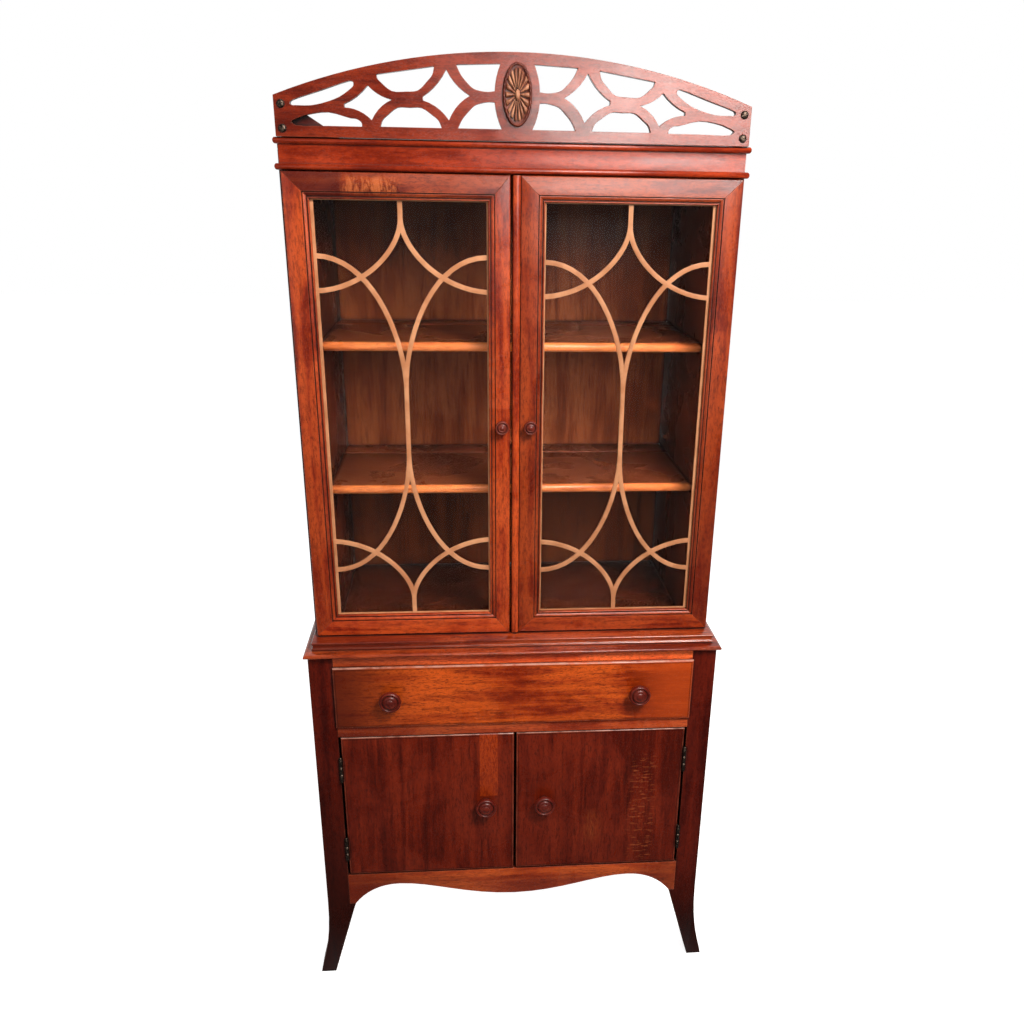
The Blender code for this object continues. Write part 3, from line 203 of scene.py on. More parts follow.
WOODS = {name: Wood(*row) for name, row in {
    "frame": ((0.060, 0.004, 0.002), (0.300, 0.026, 0.006), (0.560, 0.078, 0.013), 0.90, 0.55, 0.60, 0.28),
    "frieze": ((0.080, 0.006, 0.002), (0.215, 0.017, 0.004), (0.390, 0.040, 0.008), 0.90, 0.60, 0.55, 0.22),
    "crest": ((0.050, 0.005, 0.002), (0.130, 0.010, 0.003), (0.250, 0.026, 0.006), 0.85, 0.50, 0.55, 0.30),
    "drawer": ((0.060, 0.005, 0.001), (0.270, 0.022, 0.003), (0.620, 0.090, 0.008), 1.00, 0.80, 0.35, 0.20),
    "rail": ((0.080, 0.006, 0.002), (0.340, 0.036, 0.008), (0.560, 0.090, 0.018), 0.90, 0.60, 0.35, 0.30),
    "apron": ((0.070, 0.006, 0.002), (0.320, 0.032, 0.006), (0.540, 0.086, 0.014), 0.90, 0.60, 0.35, 0.25),
    "post": ((0.014, 0.001, 0.001), (0.072, 0.005, 0.002), (0.130, 0.010, 0.003), 0.70, 0.55, 0.50, 0.15),
    "door": ((0.022, 0.002, 0.001), (0.115, 0.008, 0.002), (0.200, 0.018, 0.004), 0.80, 0.60, 0.35, 0.18),
    "waist": ((0.040, 0.003, 0.001), (0.220, 0.020, 0.005), (0.420, 0.060, 0.012), 0.90, 0.85, 0.40, 0.50),
    "case": ((0.028, 0.003, 0.0015), (0.090, 0.010, 0.004), (0.150, 0.020, 0.007), 0.60, 0.50, 0.30, 0.10),
    "inside": ((0.060, 0.010, 0.004), (0.200, 0.040, 0.014), (0.310, 0.078, 0.028), 0.80, 0.70, 0.20, 0.05),
    "shelf": ((0.120, 0.016, 0.005), (0.380, 0.074, 0.017), (0.550, 0.150, 0.040), 0.80, 0.60, 0.20, 0.20),
    "lining": ((0.200, 0.090, 0.040), (0.420, 0.220, 0.100), (0.560, 0.330, 0.170), 0.60, 0.40, 0.20, 0.10),
    "knob": ((0.030, 0.002, 0.001), (0.105, 0.007, 0.003), (0.170, 0.016, 0.005), 0.70, 0.30, 0.40, 0.30),
    "hidden": ((0.050, 0.010, 0.004), (0.150, 0.035, 0.012), (0.240, 0.070, 0.025), 0.60, 0.50, 0.20, 0.08),
}.items()}

# Patterns in the wood, and their scales along the grain and across it
FIGURE = {"scale": 2.4, "detail": 5, "distortion": 1.2}
CLOUDS = {"scale": 6.5, "distortion": 0.6}
STREAKS = {"scale": 16, "detail": 6, "roughness": 0.72, "distortion": 0.3}
MOTTLE = {"scale": 210, "detail": 5, "roughness": 0.75}
FLECKS = {"scale": 420, "detail": 3, "roughness": 0.65}
PORES = {"scale": 1000, "detail": 2, "roughness": 0.6}
RIPPLE = {"scale": 38, "detail": 2}
STREAK_STRETCH = (1, 11)
MOTTLE_STRETCH = (0.4, 1)
FLECK_STRETCH = (0.25, 1)
SEED_SHIFT = (1.37, 0.71, 2.13)
FIGURE_PART = 0.6
FLECK_GATHER = (0.38, 0.60, 0.35, 1)

LAYERS = (
    # pattern, value where it starts and where it is full, share, the wood's own share on top of it, colour
    ("tones", 0.42, 0.58, 1, "figure", "light"),
    ("tones", 0.50, 0.36, 0.45, None, "dark"),
    ("streaks", 0.50, 0.64, 0.75, "streaks", "dark"),
    ("streaks", 0.46, 0.36, 0.40, "streaks", "light"),
    ("mottle", 0.50, 0.63, 0.70, "mottle", "dark"),
    ("mottle", 0.46, 0.36, 0.55, "mottle", "light"),
    ("flecks", 0.52, 0.63, 0.80, "streaks", "dark"),
    ("pores", 0.56, 0.70, 0.60, "streaks", "dark"),
)

# Polish, glaze and painted shade in the recesses, and wear and painted highlights on the edges
GLAZE_AND_SHADE_REACH = 0.009
FINE_REACH = 0.004
WAIST_REACH = 0.006
KNOB_REACH = 0.0022
GLAZE_AND_SHADE_COLOUR = (0.012, 0.0015, 0.0010)
RECESS_RANGE = (0.86, 0.42)
RECESS_SHARE = 0.9
RECESS_ROUGHNESS = 0.4
RECESS_SAMPLES = 6
WEAR_AND_HIGHLIGHT_RADIUS = 0.0016
WEAR_AND_HIGHLIGHT_COLOUR = (0.620, 0.190, 0.095)
WEAR_AND_HIGHLIGHT_SHARE = 0.65
LEAST_WEAR_AND_HIGHLIGHT_SHARE = 1 / 3
WEAR_AND_HIGHLIGHT_CLOUDS = (0.40, 0.60)
EDGE_SAMPLES = 4
EDGE_BEND = (0.995, 0.90)
POLISH_ROUGHNESS = 0.27
POLISH_CLOUDS = (0.3, 0.7)
POLISH_SPREAD = (-0.05, 0.08)
PORE_ROUGHNESS = (0.5, 0.75, 0, 0.12)
ROUND_SAMPLES = 6
RIPPLE_BUMP = (0.10, 0.0012)
PORE_BUMP = (0.20, 0.0004)


def grain_stretch(grain, stretch):
    along, across = stretch
    return tuple(along if axis == grain else across for axis in "xyz")


def toned(colour, tone):
    return [tone * value for value in colour]


def wood_patterns(graph, grain, seed):
    """Slow figure, clouds, streaks, mottling, flecks and pores, by name."""
    shift = tuple(seed * share for share in SEED_SHIFT)
    along, short = grain_stretch(grain, STREAK_STRETCH), grain_stretch(grain, FLECK_STRETCH)
    patterns = {
        "clouds": graph.noise(**CLOUDS, shift=shift),
        "streaks": graph.noise(**STREAKS, stretch=along, shift=shift),
        "mottle": graph.noise(**MOTTLE, stretch=grain_stretch(grain, MOTTLE_STRETCH), shift=shift),
        "flecks": graph.noise(**FLECKS, stretch=short, shift=shift),
        "pores": graph.noise(**PORES, stretch=short, shift=shift),
    }
    figure = graph.times(graph.noise(**FIGURE, stretch=along, shift=shift), FIGURE_PART)
    patterns["tones"] = graph.math("ADD", figure, graph.times(patterns["clouds"], 1 - FIGURE_PART))
    return patterns


def wood_colour(graph, wood, patterns, tone):
    """Body colour with the layers over it; the flecks gather where the clouds are."""
    tints = {"dark": toned(wood.dark, tone), "light": toned(wood.light, tone)}
    gather = graph.ramp(patterns["clouds"], *FLECK_GATHER)
    colour = toned(wood.body, tone)
    for pattern, start, full, share, own_share, tint in LAYERS:
        own = getattr(wood, own_share) if own_share else 1
        amount = graph.ramp(patterns[pattern], start, full, 0, share * own)
        if pattern == "flecks":
            amount = graph.times(amount, gather)
        colour = graph.mix(amount, colour, tints[tint])
    return colour


def edge_mask(graph, radius):
    """1 on rounded edges, from the bend of the surface within radius, where rubbed edges wear lighter and
    where the wood's edges get painted highlights.
    """
    normals = {
        0: graph.bevel_normal(radius, EDGE_SAMPLES),
        1: graph.node("ShaderNodeNewGeometry").outputs["Normal"],
    }
    dot = graph.node("ShaderNodeVectorMath", normals, operation="DOT_PRODUCT")
    return graph.ramp(dot.outputs["Value"], *EDGE_BEND)


def recess_mask(graph, reach):
    """1 deep in grooves, corners and joints, where dark glaze and polish gather, and where shade is
    painted.
    """
    shade = graph.node("ShaderNodeAmbientOcclusion", {"Distance": reach}, samples=RECESS_SAMPLES)
    return graph.ramp(shade.outputs["AO"], *RECESS_RANGE)


def make_wood(name, wood_name, grain, seed, mark=None, tone=1, reach=GLAZE_AND_SHADE_REACH,
              roughness=POLISH_ROUGHNESS, round_edges=0, wear_and_highlight=WEAR_AND_HIGHLIGHT_SHARE):
    wood = WOODS[wood_name]
    graph = Graph(bpy.data.materials.new(name))
    patterns = wood_patterns(graph, grain, seed)
    clouds, pores = patterns["clouds"], patterns["pores"]
    colour = wood_colour(graph, wood, patterns, tone)
    if mark is not None:
        colour = mark(graph, colour)
    # Edges lighten: partly wear, partly painted highlight
    uneven = graph.ramp(clouds, *WEAR_AND_HIGHLIGHT_CLOUDS, wear_and_highlight * LEAST_WEAR_AND_HIGHLIGHT_SHARE, wear_and_highlight)
    lighter_edges = graph.times(edge_mask(graph, WEAR_AND_HIGHLIGHT_RADIUS), uneven)
    colour = graph.mix(lighter_edges, colour, [(one + other) / 2 for one, other in zip(wood.body, WEAR_AND_HIGHLIGHT_COLOUR)])
    # Recesses darken: partly glaze, partly painted shade
    recess = recess_mask(graph, reach)
    colour = graph.mix(graph.times(recess, RECESS_SHARE), colour, GLAZE_AND_SHADE_COLOUR)
    rough = graph.ramp(clouds, *POLISH_CLOUDS, *(roughness + change for change in POLISH_SPREAD))
    rough = graph.math("ADD", rough, graph.ramp(pores, *PORE_ROUGHNESS))
    rough = graph.math("ADD", rough, graph.times(recess, RECESS_ROUGHNESS))
    soft_normal = graph.bevel_normal(round_edges, ROUND_SAMPLES) if round_edges else None
    normal = graph.bump(graph.noise(**RIPPLE, shift=(seed, 0, 0)), *RIPPLE_BUMP, soft_normal)
    normal = graph.bump(graph.math("ADD", pores, patterns["flecks"]), *PORE_BUMP, normal)
    return graph.finish({"Base Color": colour, "Roughness": rough, "Normal": normal,
                         "Specular IOR Level": wood.gloss})


# Gradual shades on single pieces: a mark takes a material's graph and colour, and returns the new colour

class Shade(NamedTuple):
    """A tint that begins at start and reaches its share at full, along an axis or on both sides of it."""
    axis: str
    start: float
    full: float
    share: float
    tint: tuple
    mirrored: bool = False


# Painted shade inside the case
INSIDE_PAINTED_SHADE = (0.022, 0.005, 0.002)
# Painted shade: the left half of the rails, apron and waist is darker, as the light falls from the right
LEFT_PAINTED_SHADE = Shade("X", -0.05, -0.34, 0.60, (0.120, 0.011, 0.003))
# Painted shade on the drawer's left end and painted light on its right end
DRAWER_LEFT_PAINTED_SHADE = Shade("X", -0.16, -0.36, 0.90, (0.070, 0.006, 0.002))
DRAWER_RIGHT_PAINTED_LIGHT = Shade("X", 0.20, 0.33, 0.55, (0.520, 0.066, 0.007))
FLAME_END = Shade("X", -0.288, -0.296, 0.60, WOODS["frame"].dark)
KNEES = Shade("X", 0.24, 0.345, 0.50, (0.100, 0.010, 0.003), mirrored=True)
# Painted shade on the inner faces of the bookcase's sides
INNER_FACE_PAINTED_SHADE = Shade("X", 0.3560, 0.3535, 0.60, INSIDE_PAINTED_SHADE, mirrored=True)
SHORT_FOOT = Shade("Z", 0.33, 0.06, 0.85, (0.012, 0.002, 0.001))
TALL_FOOT = SHORT_FOOT._replace(start=0.75)
LEFT_STILE_END = Shade("Z", 1.50, 0.95, 0.25, WOODS["frame"].dark)
RIGHT_STILE_END = LEFT_STILE_END._replace(share=0.45)
FLOOR_FADE = 0.006
FLOOR_SHARE = 0.85
NOSE_START = 0.005
NOSE_END = 0.011
SHELF_SHARE = 0.88
# Painted shade on the shelves' tops and undersides
SHELF_PAINTED_SHADE = (0.075, 0.014, 0.006)


def shaded(*shades):
    """A mark made of shades, one over the other."""
    def mark(graph, colour):
        for shade in shades:
            place = graph.axis(shade.axis)
            if shade.mirrored:
                place = graph.node("ShaderNodeMath", {0: place}, operation="ABSOLUTE").outputs[0]
            amount = graph.ramp(place, shade.start, shade.full, 0, shade.share)
            colour = graph.mix(amount, colour, shade.tint)
        return colour
    return mark


def floor_shade():
    """Painted shade on the bookcase's floor, behind its doors."""
    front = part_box("hutch_side_left")[0].y
    return Shade("Y", front, front + FLOOR_FADE, FLOOR_SHARE, INSIDE_PAINTED_SHADE)


def shelf_shade(node):
    """Painted shade on a shelf's top and underside, leaving its front edge lighter."""
    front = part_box(node)[0].y
    return Shade("Y", front + NOSE_START, front + NOSE_END, SHELF_SHARE, SHELF_PAINTED_SHADE)


# Marks that the photograph shows on single pieces

CUT_DEPTH = (0.0004, 0.0016)
CUT_FACING = (0.7, 0.3)
CUT_SHARE = 0.92
CUT_PAINTED_SHADE = (0.016, 0.002, 0.0012)
# Painted shade on the back panel
BACK_PAINTED_SHADES = ((1.10, 1.02, 0.50), (1.42, 1.56, 0.75))

# Outline of a door or drawer front, with a painted highlight on its rim and top edge and a dark line of
# glaze and painted shade inside: distances from its edge where each line starts and is full
RIM_FADE = (0.0038, 0.0028)
RIM_SHARE = 0.45
RIM_HIGHLIGHT_COLOUR = (0.300, 0.070, 0.035)
LINE_RISE = (0.0028, 0.0040)
LINE_FALL = (0.0063, 0.0048)
LINE_SHARE = 0.50
TOP_FADE = (0.0022, 0.0016)
TOP_SHARE = 0.75
TOP_HIGHLIGHT_COLOUR = (0.640, 0.340, 0.260)
BREAKS = {"scale": 40}
BREAK_RANGE = (0.35, 0.60, 0.25, 1)

# Light strip of the left lower door
STRIP_X = (-0.0735, -0.0360)
STRIP_Z = (0.452, 0.612)
STRIP_SOFT = 0.0012
STRIP_SHARES = (0.75, 0.95)
STRIP_COLOUR = (0.370, 0.042, 0.005)
STRIP_DARK = (0.190, 0.017, 0.003)
STRIP_GRAIN = {"scale": 420, "detail": 5, "roughness": 0.75, "stretch": (1, 1, 0.30), "shift": (2.2, 0, 0)}
STRIP_RANGE = (0.40, 0.62)

# Flame figure of the left upper door's top rail
FLAME_X = (-0.292, -0.198)
FLAME_Z = (1.628, 1.652)
FLAME_SOFT = 0.006
FLAME_SHARE = 0.6
FLAME_COLOUR = (0.600, 0.150, 0.040)
FLAME = {"scale": 44, "detail": 6, "roughness": 0.7, "distortion": 1.0, "stretch": (3, 1, 0.9),
         "shift": (0.4, 0, 2.2)}
FLAME_RANGE = (0.42, 0.62)

# Dashes and smudge of the right lower door
DASH_X = (0.245, 0.298)
DASH_Z = (0.275, 0.540)
DASH_SOFT = 0.012
DASH_SHARE = 0.6
DASH_COLOUR = (0.330, 0.070, 0.020)
DASHES = {"scale": 85, "detail": 3, "roughness": 0.6, "stretch": (0.6, 1, 3), "shift": (4.1, 0, 0)}
DASH_RANGE = (0.54, 0.64)
SMUDGE_X = (0.155, 0.175)
SMUDGE_Z = (0.330, 0.400)
SMUDGE_SOFT = 0.022
SMUDGE_SHARE = 0.6
SMUDGE_COLOUR = (0.420, 0.080, 0.016)
SMUDGE = {"scale": 90, "detail": 6, "roughness": 0.7, "stretch": (3, 1, 0.6), "shift": (1.7, 0, 0.6)}
SMUDGE_RANGE = (0.35, 0.70)


def box_mask(graph, x_span, z_span, soft):
    """1 inside a box on the front, with soft sides."""
    mask = 1
    for axis, (low, high) in (("X", x_span), ("Z", z_span)):
        place = graph.axis(axis)
        mask = graph.times(mask, graph.ramp(place, low - soft, low + soft))
        mask = graph.times(mask, graph.ramp(place, high + soft, high - soft))
    return mask


def outlined(graph, colour, node):
    """A painted highlight on the rounded edge of a door or drawer front, brightest along its top, and a
    dark line of glaze and painted shade inside it.
    """
    low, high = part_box(node)
    x, z = graph.axis("X"), graph.axis("Z")
    from_top = graph.math("SUBTRACT", high.z, z)
    inside = graph.math("MINIMUM", graph.math("SUBTRACT", x, low.x), graph.math("SUBTRACT", high.x, x))
    inside = graph.math("MINIMUM", inside, from_top)
    inside = graph.math("MINIMUM", inside, graph.math("SUBTRACT", z, low.z))
    breaks = graph.ramp(graph.noise(**BREAKS), *BREAK_RANGE)
    rim = graph.times(graph.ramp(inside, *RIM_FADE, 0, RIM_SHARE), breaks)
    colour = graph.mix(rim, colour, RIM_HIGHLIGHT_COLOUR)
    line = graph.times(graph.ramp(inside, *LINE_RISE, 0, LINE_SHARE), graph.ramp(inside, *LINE_FALL))
    colour = graph.mix(line, colour, GLAZE_AND_SHADE_COLOUR)
    top = graph.times(graph.ramp(from_top, *TOP_FADE, 0, TOP_SHARE), breaks)
    return graph.mix(top, colour, TOP_HIGHLIGHT_COLOUR)


def drawer_marks(graph, colour):
    """Painted shade on the drawer's left end, and painted light on its right end."""
    return outlined(graph, shaded(DRAWER_LEFT_PAINTED_SHADE, DRAWER_RIGHT_PAINTED_LIGHT)(graph, colour), "drawer_front")


def light_strip(graph, colour):
    """A lighter strip in the left lower door, beside its knob."""
    colour = outlined(graph, colour, "lower_door_left")
    strip = graph.mix(graph.ramp(graph.noise(**STRIP_GRAIN), *STRIP_RANGE), STRIP_COLOUR, STRIP_DARK)
    share = graph.ramp(graph.axis("Z"), *STRIP_Z, *STRIP_SHARES)
    return graph.mix(graph.times(box_mask(graph, STRIP_X, STRIP_Z, STRIP_SOFT), share), colour, strip)


def flame_patch(graph, colour):
    """A lighter flame figure in the left upper door's top rail, and a darker end beside it."""
    colour = shaded(FLAME_END)(graph, colour)
    flame = graph.ramp(graph.noise(**FLAME), *FLAME_RANGE)
    share = graph.times(box_mask(graph, FLAME_X, FLAME_Z, FLAME_SOFT), flame)
    return graph.mix(graph.times(share, FLAME_SHARE), colour, FLAME_COLOUR)


def dash_marks(graph, colour):
    """Short light dashes across the grain of the right lower door, and a smudge."""
    colour = outlined(graph, colour, "lower_door_right")
    dashes = graph.ramp(graph.noise(**DASHES), *DASH_RANGE)
    dashes = graph.times(box_mask(graph, DASH_X, DASH_Z, DASH_SOFT), dashes)
    colour = graph.mix(graph.times(dashes, DASH_SHARE), colour, DASH_COLOUR)
    smudge = graph.ramp(graph.noise(**SMUDGE), *SMUDGE_RANGE)
    smudge = graph.times(smudge, box_mask(graph, SMUDGE_X, SMUDGE_Z, SMUDGE_SOFT))
    return graph.mix(graph.times(smudge, SMUDGE_SHARE), colour, SMUDGE_COLOUR)


def dark_cuts(graph, colour):
    """Painted shade on the walls of the crest's openings, except where they face up."""
    low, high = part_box("crest_board")
    start, full = CUT_DEPTH
    y = graph.axis("Y")
    wall = graph.ramp(y, low.y + start, low.y + full)
    wall = graph.times(wall, graph.ramp(y, high.y - start, high.y - full))
    normal = graph.node("ShaderNodeNewGeometry").outputs["True Normal"]
    facing = graph.node("ShaderNodeSeparateXYZ", {0: normal}).outputs["Z"]
    wall = graph.times(wall, graph.ramp(facing, *CUT_FACING))
    return graph.mix(graph.times(wall, CUT_SHARE), colour, CUT_PAINTED_SHADE)


def shaded_back(graph, colour):
    """Painted shade on the back panel's inner face, in its bottom and top compartments."""
    low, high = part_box("hutch_back")
    inner = graph.ramp(graph.axis("Y"), high.y, low.y)
    for start, full, share in BACK_PAINTED_SHADES:
        shade = graph.times(graph.ramp(graph.axis("Z"), start, full, 0, share), inner)
        colour = graph.mix(shade, colour, INSIDE_PAINTED_SHADE)
    return colour


# Other finishes

FRET_DARK = (0.470, 0.190, 0.085)
FRET_LIGHT = (0.600, 0.275, 0.135)
FRET_SPECKLE = (0.32, 0.11, 0.045)
FRET_GLOSS = 0.10
FRET_SETTINGS = {"left": (7, 1), "right": (19, 0.91)}
FRET_CLOUDS = {"scale": 30}
FRET_ROUGHNESS = (0.3, 0.7, 0.38, 0.52)
FRET_BUMP = (0.12, 0.0004)
SPECKLE_RANGE = (0.60, 0.75, 0, 0.35)
FINE_RANGE = (0.35, 0.65)
SPECKLE = {"scale": 90, "detail": 3, "stretch": (6, 6, 1)}
CARVED_GRAIN = {"scale": 130, "stretch": (1, 1, 0.4)}
CARVED_WEAR_RADIUS = 0.0009
CARVED_WEAR = (0.72, 0.36, 0.20)
CARVED_WEAR_SHARE = 0.5
CARVED_GLOSS = 0.2
CARVED_SPREAD = (-0.06, 0.08)
CARVED_BUMP = (0.2, 0.0004)
METAL_SPOTS = {"scale": 420}
METAL_DARK = (0.030, 0.020, 0.016)
METAL_LIGHT = (0.110, 0.080, 0.060)
METAL_RANGE = (0.40, 0.65)
METAL_ROUGHNESS = (0.35, 0.65, 0.30, 0.55)
METAL_BUMP = (0.15, 0.0002)
GLASS_TINT = (0.93, 0.96, 0.95)
GLASS_INDEX = 1.15
SMEARS = {"scale": 9, "detail": 5, "roughness": 0.6, "distortion": 0.6, "stretch": (1, 1, 2.5)}
SMEAR_ROUGHNESS = (0.50, 0.72, 0, 0.06)


def make_fret_wood(seed, tone):
    graph = Graph(bpy.data.materials.new("fret_wood"))
    clouds = graph.noise(**FRET_CLOUDS, shift=(seed, 0, 0))
    speckle = graph.noise(**SPECKLE, shift=(seed, 0, 0))
    colour = graph.mix(graph.ramp(clouds, *FINE_RANGE), toned(FRET_DARK, tone), toned(FRET_LIGHT, tone))
    return graph.finish({
        "Base Color": graph.mix(graph.ramp(speckle, *SPECKLE_RANGE), colour, FRET_SPECKLE),
        "Roughness": graph.ramp(clouds, *FRET_ROUGHNESS),
        "Normal": graph.bump(speckle, *FRET_BUMP),
        "Specular IOR Level": FRET_GLOSS,
    })


def make_carved_wood(name, low_colour, high_colour, roughness):
    graph = Graph(bpy.data.materials.new(name))
    fine = graph.noise(**CARVED_GRAIN)
    colour = graph.mix(graph.ramp(fine, *FINE_RANGE), low_colour, high_colour)
    lighter_edges = graph.times(edge_mask(graph, CARVED_WEAR_RADIUS), CARVED_WEAR_SHARE)
    return graph.finish({
        "Base Color": graph.mix(lighter_edges, colour, CARVED_WEAR),
        "Roughness": graph.ramp(fine, *POLISH_CLOUDS, *(roughness + change for change in CARVED_SPREAD)),
        "Normal": graph.bump(fine, *CARVED_BUMP),
        "Specular IOR Level": CARVED_GLOSS,
    })


def make_dark_metal():
    graph = Graph(bpy.data.materials.new("dark_metal"))
    spots = graph.noise(**METAL_SPOTS)
    return graph.finish({
        "Base Color": graph.mix(graph.ramp(spots, *METAL_RANGE), METAL_DARK, METAL_LIGHT),
        "Metallic": 1,
        "Roughness": graph.ramp(spots, *METAL_ROUGHNESS),
        "Normal": graph.bump(spots, *METAL_BUMP),
    })


def make_window_glass():
    """Clear panes with faint smears; lamps shine through them."""
    graph = Graph(bpy.data.materials.new("window_glass"))
    clear = graph.node("ShaderNodeBsdfTransparent", {"Color": GLASS_TINT})
    shadow = graph.node("ShaderNodeLightPath").outputs["Is Shadow Ray"]
    mixed = graph.node("ShaderNodeMixShader", {0: shadow, 1: graph.shader.outputs[0], 2: clear.outputs[0]})
    graph.feed(graph.tree.nodes["Material Output"].inputs["Surface"], mixed.outputs[0])
    return graph.finish({
        "Base Color": GLASS_TINT,
        "Transmission Weight": 1,
        "IOR": GLASS_INDEX,
        "Roughness": graph.ramp(graph.noise(**SMEARS), *SMEAR_ROUGHNESS),
    })


# Mesh helpers

def new_piece(name, mesh_data, material, body, edge=0):
    """A piece of the object from a bmesh drawn in the frame's coordinates."""
    bmesh.ops.recalc_face_normals(mesh_data, faces=mesh_data.faces[:])
    piece = new_object(name, mesh_data)
    piece.data.materials.append(material)
    smooth(piece, PIECE_EDGE_ANGLE, edge)
    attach(piece, body)
    return piece


def new_object(name, mesh_data):
    mesh = bpy.data.meshes.new(name)
    mesh_data.to_mesh(mesh)
    mesh_data.free()
    made = bpy.data.objects.new(name, mesh)
    bpy.context.scene.collection.objects.link(made)
    return made


def smooth(piece, angle, edge):
    """Shades a piece smooth, and rounds its hard edges a little where an edge width is given."""
    piece.data.polygons.foreach_set("use_smooth", [True] * len(piece.data.polygons))
    if edge:
        bevel = piece.modifiers.new("soft_edges", "BEVEL")
        bevel.width = edge
        bevel.segments = BEVEL_SEGMENTS
        bevel.limit_method = "ANGLE"
        bevel.angle_limit = math.radians(angle)
        bevel.harden_normals = True
        bevel.use_clamp_overlap = True


def ring_solid(rings, start, end):
    """A closed solid through rings of points: start and end name each ring's corner at either end."""
    made = bmesh.new()
    columns = [[made.verts.new(start(ring)), made.verts.new(end(ring))] for ring in rings]
    for here, after in zip(columns, columns[1:] + columns[:1]):
        made.faces.new((here[0], here[1], after[1], after[0]))
    made.faces.new([column[0] for column in columns])
    made.faces.new([column[1] for column in reversed(columns)])
    return made


def lathe(profile, sides, centre):
    """A turned solid about -Y: profile holds (radius, distance towards the front)."""
    made = bmesh.new()
    rings = []
    for radius, forward in profile:
        ring = []
        for side in range(sides if radius > 0 else 1):
            angle = 2 * math.pi * side / sides
            offset = Vector((radius * math.cos(angle), -forward, radius * math.sin(angle)))
            ring.append(made.verts.new(centre + offset))
        rings.append(ring)
    for lower, upper in zip(rings, rings[1:]):
        for side in range(sides):
            after = (side + 1) % sides
            if len(upper) == 1:
                made.faces.new((lower[side], lower[after], upper[0]))
            else:
                made.faces.new((lower[side], lower[after], upper[after], upper[side]))
    made.faces.new(rings[0])
    return made


def catmull(points, steps):
    """A smooth line through points."""
    line = []
    for index in range(len(points) - 1):
        before = points[max(index - 1, 0)]
        here, after = points[index], points[index + 1]
        beyond = points[min(index + 2, len(points) - 1)]
        for step in range(steps):
            t = step / steps
            point = []
            for a, b, c, d in zip(before, here, after, beyond):
                bend, twist = 2 * a - 5 * b + 4 * c - d, 3 * b - a - 3 * c + d
                point.append(0.5 * (2 * b + (c - a) * t + bend * t ** 2 + twist * t ** 3))
            line.append(tuple(point))
    line.append(points[-1])
    return line


# Upper doors: four mitred members each, and the bead on the right one's meeting edge

MITRE_GAP = 0.00025
ARRIS_RADIUS = 0.0018
ARRIS_STEPS = 4
MOULD_WIDTH = 0.011
MOULD_DEPTH = 0.005
MOULD_STEPS = 3
REBATE_HIDDEN = 0.0067
REBATE_SHOULDER = 0.0087
BACK_CHAMFER = 0.003
BEAD_PROUD = 0.004
BEAD_STEPS = 14
BEAD_TONE = 1.05

# The frame's moulding, as shares of its width and depth from the sight edge outwards
MOULD_BEAD_SHARES = ((0, 0.80), (0.05, 0.46), (0.14, 0.32), (0.24, 0.46), (0.30, 0.98))
MOULD_QUIRK_SHARES = ((0.42, 0.98),)
MOULD_OGEE_SHARES = ((0.46, 0.60), (0.62, 0.42), (0.80, 0.26), (0.92, 0.26))
MOULD_FILLET_SHARES = ((0.94, 0.80), (1.06, 0.80), (1.08, 0))

MEMBERS = (
    # name, corner where it starts, corner where it ends, grain
    ("left_stile", "low_left", "high_left", "z"),
    ("right_stile", "low_right", "high_right", "z"),
    ("top_rail", "high_left", "high_right", "x"),
    ("bottom_rail", "low_left", "low_right", "x"),
)

MEMBER_TONES = {
    "upper_door_left_left_stile": 0.97,
    "upper_door_left_right_stile": 0.93,
    "upper_door_left_top_rail": 0.54,
    "upper_door_left_bottom_rail": 1.15,
    "upper_door_right_left_stile": 0.63,
    "upper_door_right_right_stile": 0.72,
    "upper_door_right_top_rail": 0.60,
    "upper_door_right_bottom_rail": 0.82,
}

MEMBER_MARKS = {
    "upper_door_left_left_stile": shaded(LEFT_STILE_END),
    "upper_door_right_right_stile": shaded(RIGHT_STILE_END),
    "upper_door_left_top_rail": flame_patch,
}


def mould_line():
    """The moulding as (distance from the sight edge, depth): bead, quirk, ogee and outer fillet."""
    bead, ogee = catmull(MOULD_BEAD_SHARES, MOULD_STEPS), catmull(MOULD_OGEE_SHARES, MOULD_STEPS)
    shares = [*bead, *MOULD_QUIRK_SHARES, *ogee, *MOULD_FILLET_SHARES]
    return [(MOULD_WIDTH * run, MOULD_DEPTH * depth) for run, depth in shares]


def rectangle(x_span, z_span, grow, y):
    low_x, high_x = x_span[0] - grow, x_span[1] + grow
    low_z, high_z = z_span[0] - grow, z_span[1] + grow
    return {
        "low_left": Vector((low_x, y, low_z)),
        "low_right": Vector((high_x, y, low_z)),
        "high_left": Vector((low_x, y, high_z)),
        "high_right": Vector((high_x, y, high_z)),
    }


def frame_rings(outer, sight, front, back):
    """Rectangles round the frame's section; outer and sight hold their x and z spans."""
    shoulder = front + REBATE_SHOULDER
    rings = [rectangle(*sight, 0, shoulder)]
    for run, depth in mould_line():
        rings.append(rectangle(*sight, run, front + depth))
    for step in range(ARRIS_STEPS + 1):
        angle = math.pi / 2 * step / ARRIS_STEPS
        inset = ARRIS_RADIUS * (1 - math.sin(angle))
        rings.append(rectangle(*outer, -inset, front + ARRIS_RADIUS * (1 - math.cos(angle))))
    rings.append(rectangle(*outer, 0, back - BACK_CHAMFER))
    rings.append(rectangle(*outer, -BACK_CHAMFER, back))
    rings.append(rectangle(*sight, REBATE_HIDDEN, back))
    rings.append(rectangle(*sight, REBATE_HIDDEN, shoulder))
    return rings


